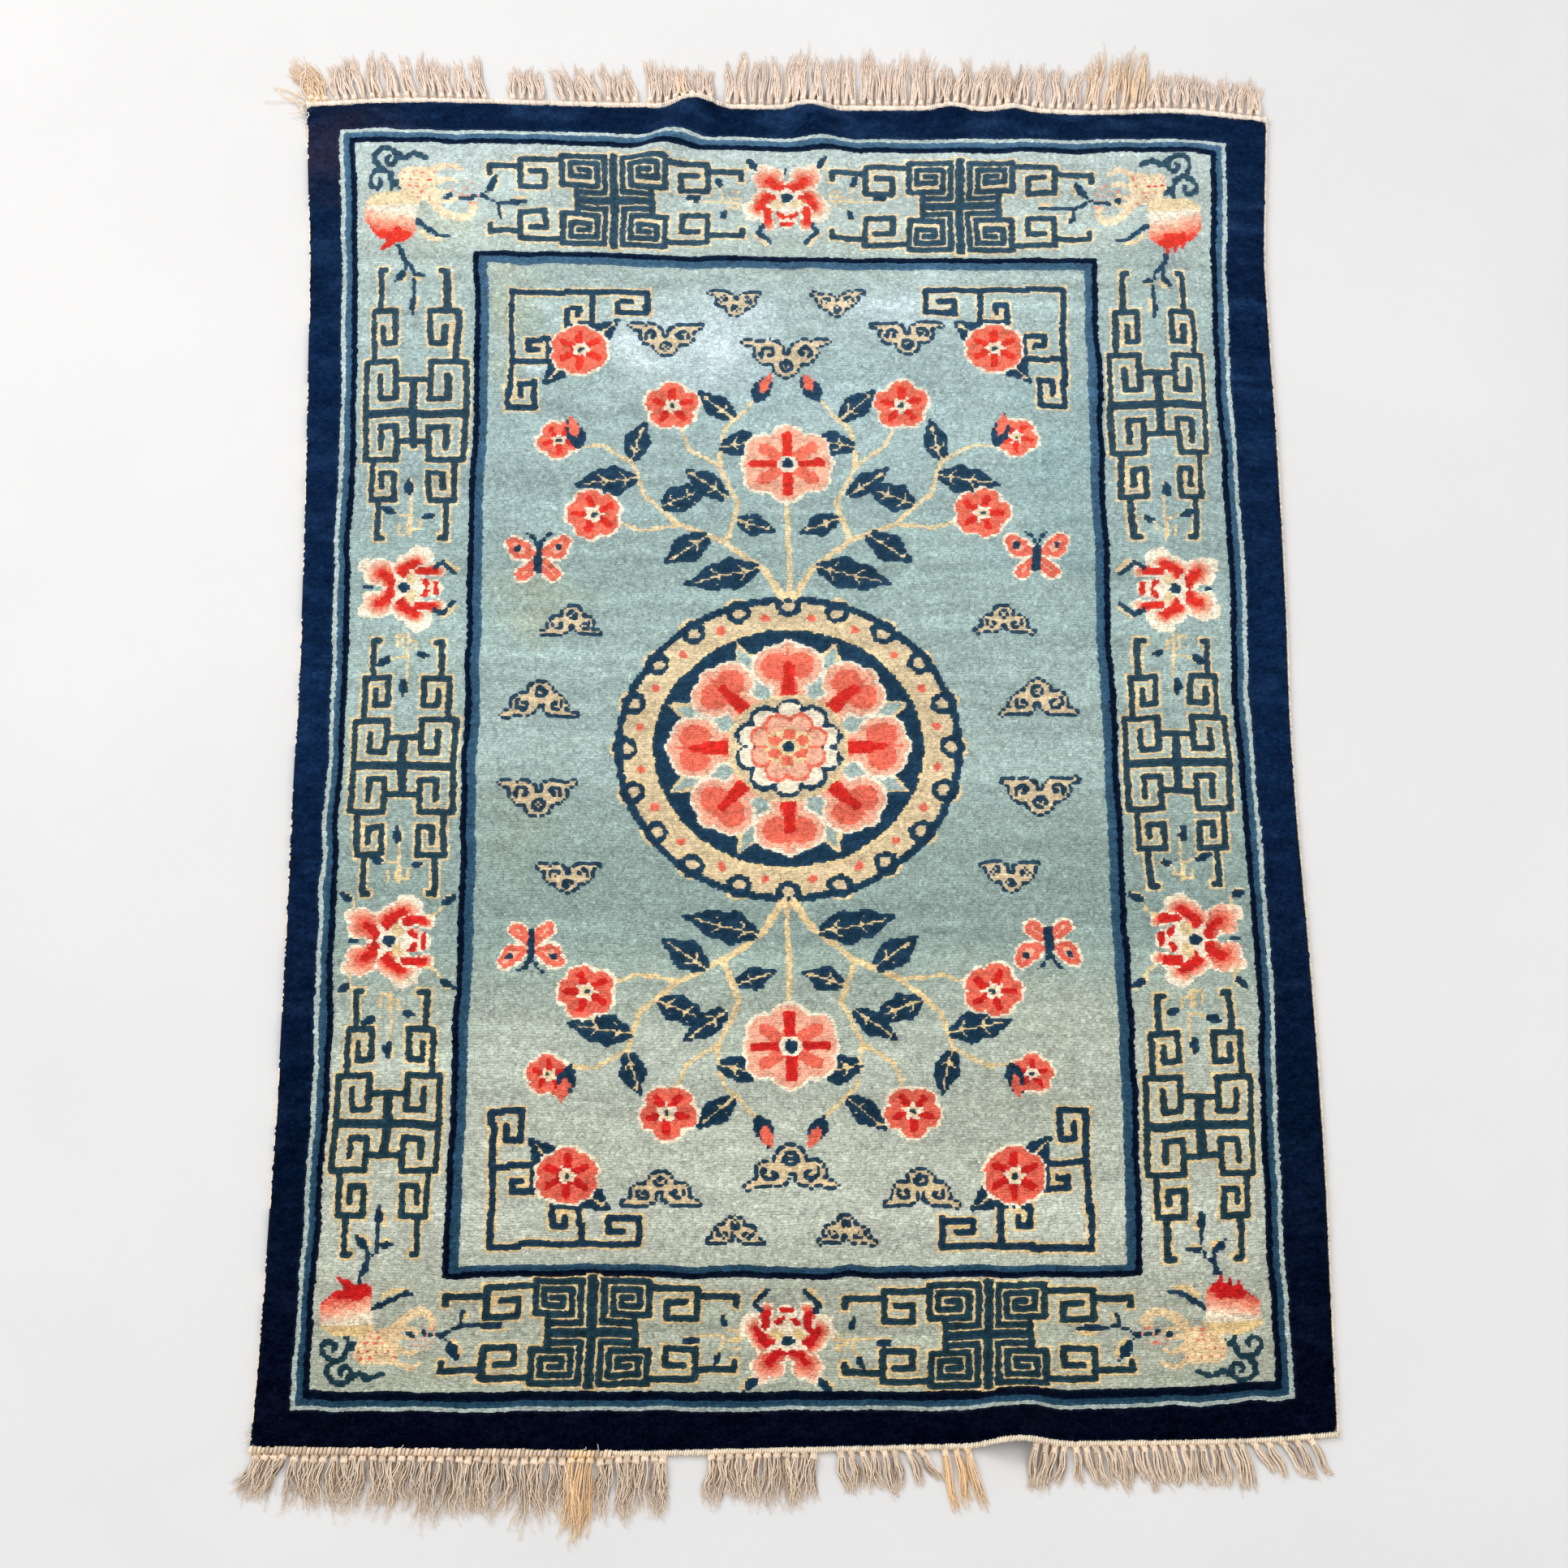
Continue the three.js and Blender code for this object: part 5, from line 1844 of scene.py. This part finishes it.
def yarn_look(name):
    """Twisted cotton: fine slanting plies and uneven soiling over the yarn's colour."""
    look = Look(name, roughness=0.9, sheen=0.15, specular=0.15)
    cotton = look.node("Attribute", {"attribute_name": "Wool"}).outputs["Color"]
    place = look.node("TexCoord").outputs["Object"]
    plies = look.noise(look.vector("MULTIPLY", place, PLY_GRAIN), 1.0, detail=2.0, roughness=0.6)
    soil = look.noise(place, SOIL_SCALE, detail=3.0, roughness=0.6)
    light = look.math("ADD", look.spread(plies, *NOISE_RANGE, *PLY_LIGHT),
                      look.spread(soil, *NOISE_RANGE, *SOIL_LIGHT))
    look.colour(look.shade(cotton, light))
    look.bump(plies, *PLY_BUMP)
    return look.material


FOUNDATION_COLOUR = (0.42, 0.38, 0.32)
# How far warps and wefts stray, and the scale at which a knot spans two of them.
WEAVE = {"X": 0.4, "Y": 0.6}
WEAVE_SCALE = 0.64
WEAVE_LIGHT = (0.7, 1.05)
WEAVE_SOIL_SCALE = 0.05
WEAVE_SOIL = (-0.1, 0.05)
WEAVE_BUMP = (0.5, 0.001)


def foundation_look():
    """Plain woven cotton: warps and wefts under the pile."""
    look = Look("woven cotton foundation", roughness=0.9, sheen=0.1, specular=0.15)
    grid = look.node("UVMap", {"uv_map": "KnotGrid"}).outputs[0]
    warp, weft = (
        look.node("TexWave", {"bands_direction": axis}, Vector=grid, Scale=WEAVE_SCALE,
                  Distortion=distortion, Detail=1.0).outputs["Fac"]
        for axis, distortion in WEAVE.items())
    weave = look.math("MULTIPLY", warp, weft)
    soil = look.noise(grid, WEAVE_SOIL_SCALE, detail=3.0, roughness=0.6)
    light = look.math("ADD", look.spread(weave, 0.0, 1.0, *WEAVE_LIGHT),
                      look.spread(soil, *NOISE_RANGE, *WEAVE_SOIL))
    look.colour(look.shade(FOUNDATION_COLOUR, light))
    look.bump(weave, *WEAVE_BUMP)
    return look.material


FLOOR_COLOUR = (0.81, 0.79, 0.775)
CLOUDINESS = (0.97, 1.03)
CLOUD_SCALE = 1.4


def floor_look():
    """A smooth pale floor with faint cloudiness."""
    look = Look("pale floor", roughness=0.75, sheen=0.0, specular=0.3)
    place = look.node("TexCoord").outputs["Object"]
    cloudy = look.noise(place, CLOUD_SCALE, detail=4.0, roughness=0.6)
    look.colour(look.shade(FLOOR_COLOUR, look.spread(cloudy, *NOISE_RANGE, *CLOUDINESS)))
    return look.material


# The pieces on the frame

SEEDS = {
    "cord_left": 21, "cord_right": 22, "binding_near": 23, "binding_far": 24,
    "fringe_near_yarns": 31, "fringe_far_yarns": 32,
}
SIDE_SIZE = (SELVAGE_WIDTH, SELVAGE_HEIGHT)
END_SIZE = (BINDING_WIDTH, BINDING_HEIGHT)
SIDE_REACH = RUG_LENGTH / 2
END_REACH = RUG_WIDTH / 2 + SELVAGE_WIDTH


def dress(piece, material):
    piece.data.materials.append(material)
    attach(piece, "root")


def overcast_piece(name, edge, *spans):
    """A piece of cords along one edge: (start, stop, size, way of turning, colours)."""
    yarns = YarnPile()
    rng = np.random.default_rng(SEEDS[name])
    for span in spans:
        overcast(yarns, edge, *span, rng)
    return yarns.piece(name)


PILE_LOOK = pile_look()
CORD_LOOK = yarn_look("overcast cotton")
FRINGE_LOOK = yarn_look("cotton fringe yarn")

pile = build_pile()
for piece in pile:
    dress(piece, PILE_LOOK)

foundation = build_foundation()
dress(foundation, foundation_look())
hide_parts("rug_body")

cord_left = overcast_piece(
    "cord_left", "left", (-SIDE_REACH, SIDE_REACH, SIDE_SIZE, SIDE_TURNS, worn_navy_turns))
cord_right = overcast_piece(
    "cord_right", "right", (-SIDE_REACH, SIDE_REACH, SIDE_SIZE, SIDE_TURNS, cream_turns))
binding_near = overcast_piece(
    "binding_near", "near",
    (-END_REACH, LOOPED_TO, LOOPED_SIZE, LOOPED_TURNS, cotton_turns),
    (LOOPED_TO, END_REACH, END_SIZE, FINE_TURNS, cream_turns))
binding_far = overcast_piece(
    "binding_far", "far", (-END_REACH, END_REACH, FAR_SIZE, FINE_TURNS, cream_turns))
fringe_near = build_fringe("fringe_near_yarns", -1, NEAR_LOCKS, NEAR_THREADS)
fringe_far = build_fringe("fringe_far_yarns", 1, FAR_LOCKS, FAR_THREADS)

for cord, node in ((cord_left, "selvage_left"), (cord_right, "selvage_right")):
    dress(cord, CORD_LOOK)
    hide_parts(node)
for binding, node in ((binding_near, "fringe_near"), (binding_far, "fringe_far")):
    dress(binding, CORD_LOOK)
    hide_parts(node)
for fringe in (fringe_near, fringe_far):
    dress(fringe, FRINGE_LOOK)


# Floor, light and camera, in metres

FLOOR_SIZE = 24.0
FLOOR_DROP = 0.0002
SKY_COLOUR = (0.95, 0.975, 1.0, 1)
SKY_STRENGTH = 0.75
# Soft square lights that face the rug's middle: (name, place, size, power).
LIGHTS = [
    ("window", (-2.6, 2.2, 3.4), 3.0, 95),
    ("fill", (2.4, -1.0, 4.0), 3.0, 30),
]
CAMERA_PLACE = (-0.0088, -3.4321, 6.2610)
CAMERA_PITCH = math.radians(61.69)
CAMERA_ROLL = math.radians(-0.259)
CAMERA_LENS = 136.5
SENSOR_WIDTH = 36

bpy.ops.mesh.primitive_plane_add(size=FLOOR_SIZE, location=(0, 0, -FLOOR_DROP))
floor = bpy.context.active_object
floor.name = "floor"
floor.data.materials.append(floor_look())

world = bpy.data.worlds.new("studio")
world.use_nodes = True
sky = world.node_tree.nodes["Background"]
sky.inputs["Color"].default_value = SKY_COLOUR
sky.inputs["Strength"].default_value = SKY_STRENGTH
bpy.context.scene.world = world
bpy.context.scene.view_settings.view_transform = "Standard"


def soft_light(name, place, size, power):
    data = bpy.data.lights.new(name, "AREA")
    data.size = size
    data.energy = power
    lamp = bpy.data.objects.new(name, data)
    bpy.context.scene.collection.objects.link(lamp)
    lamp.location = place
    lamp.rotation_euler = (-Vector(place)).to_track_quat("-Z", "Y").to_euler()


for light in LIGHTS:
    soft_light(*light)

data = bpy.data.cameras.new("camera")
data.lens = CAMERA_LENS
data.sensor_width = SENSOR_WIDTH
data.sensor_fit = "HORIZONTAL"
camera = bpy.data.objects.new("camera", data)
bpy.context.scene.collection.objects.link(camera)
camera.location = CAMERA_PLACE
camera.rotation_mode = "ZXY"
camera.rotation_euler = (math.pi / 2 - CAMERA_PITCH, 0, CAMERA_ROLL)
bpy.context.scene.camera = camera
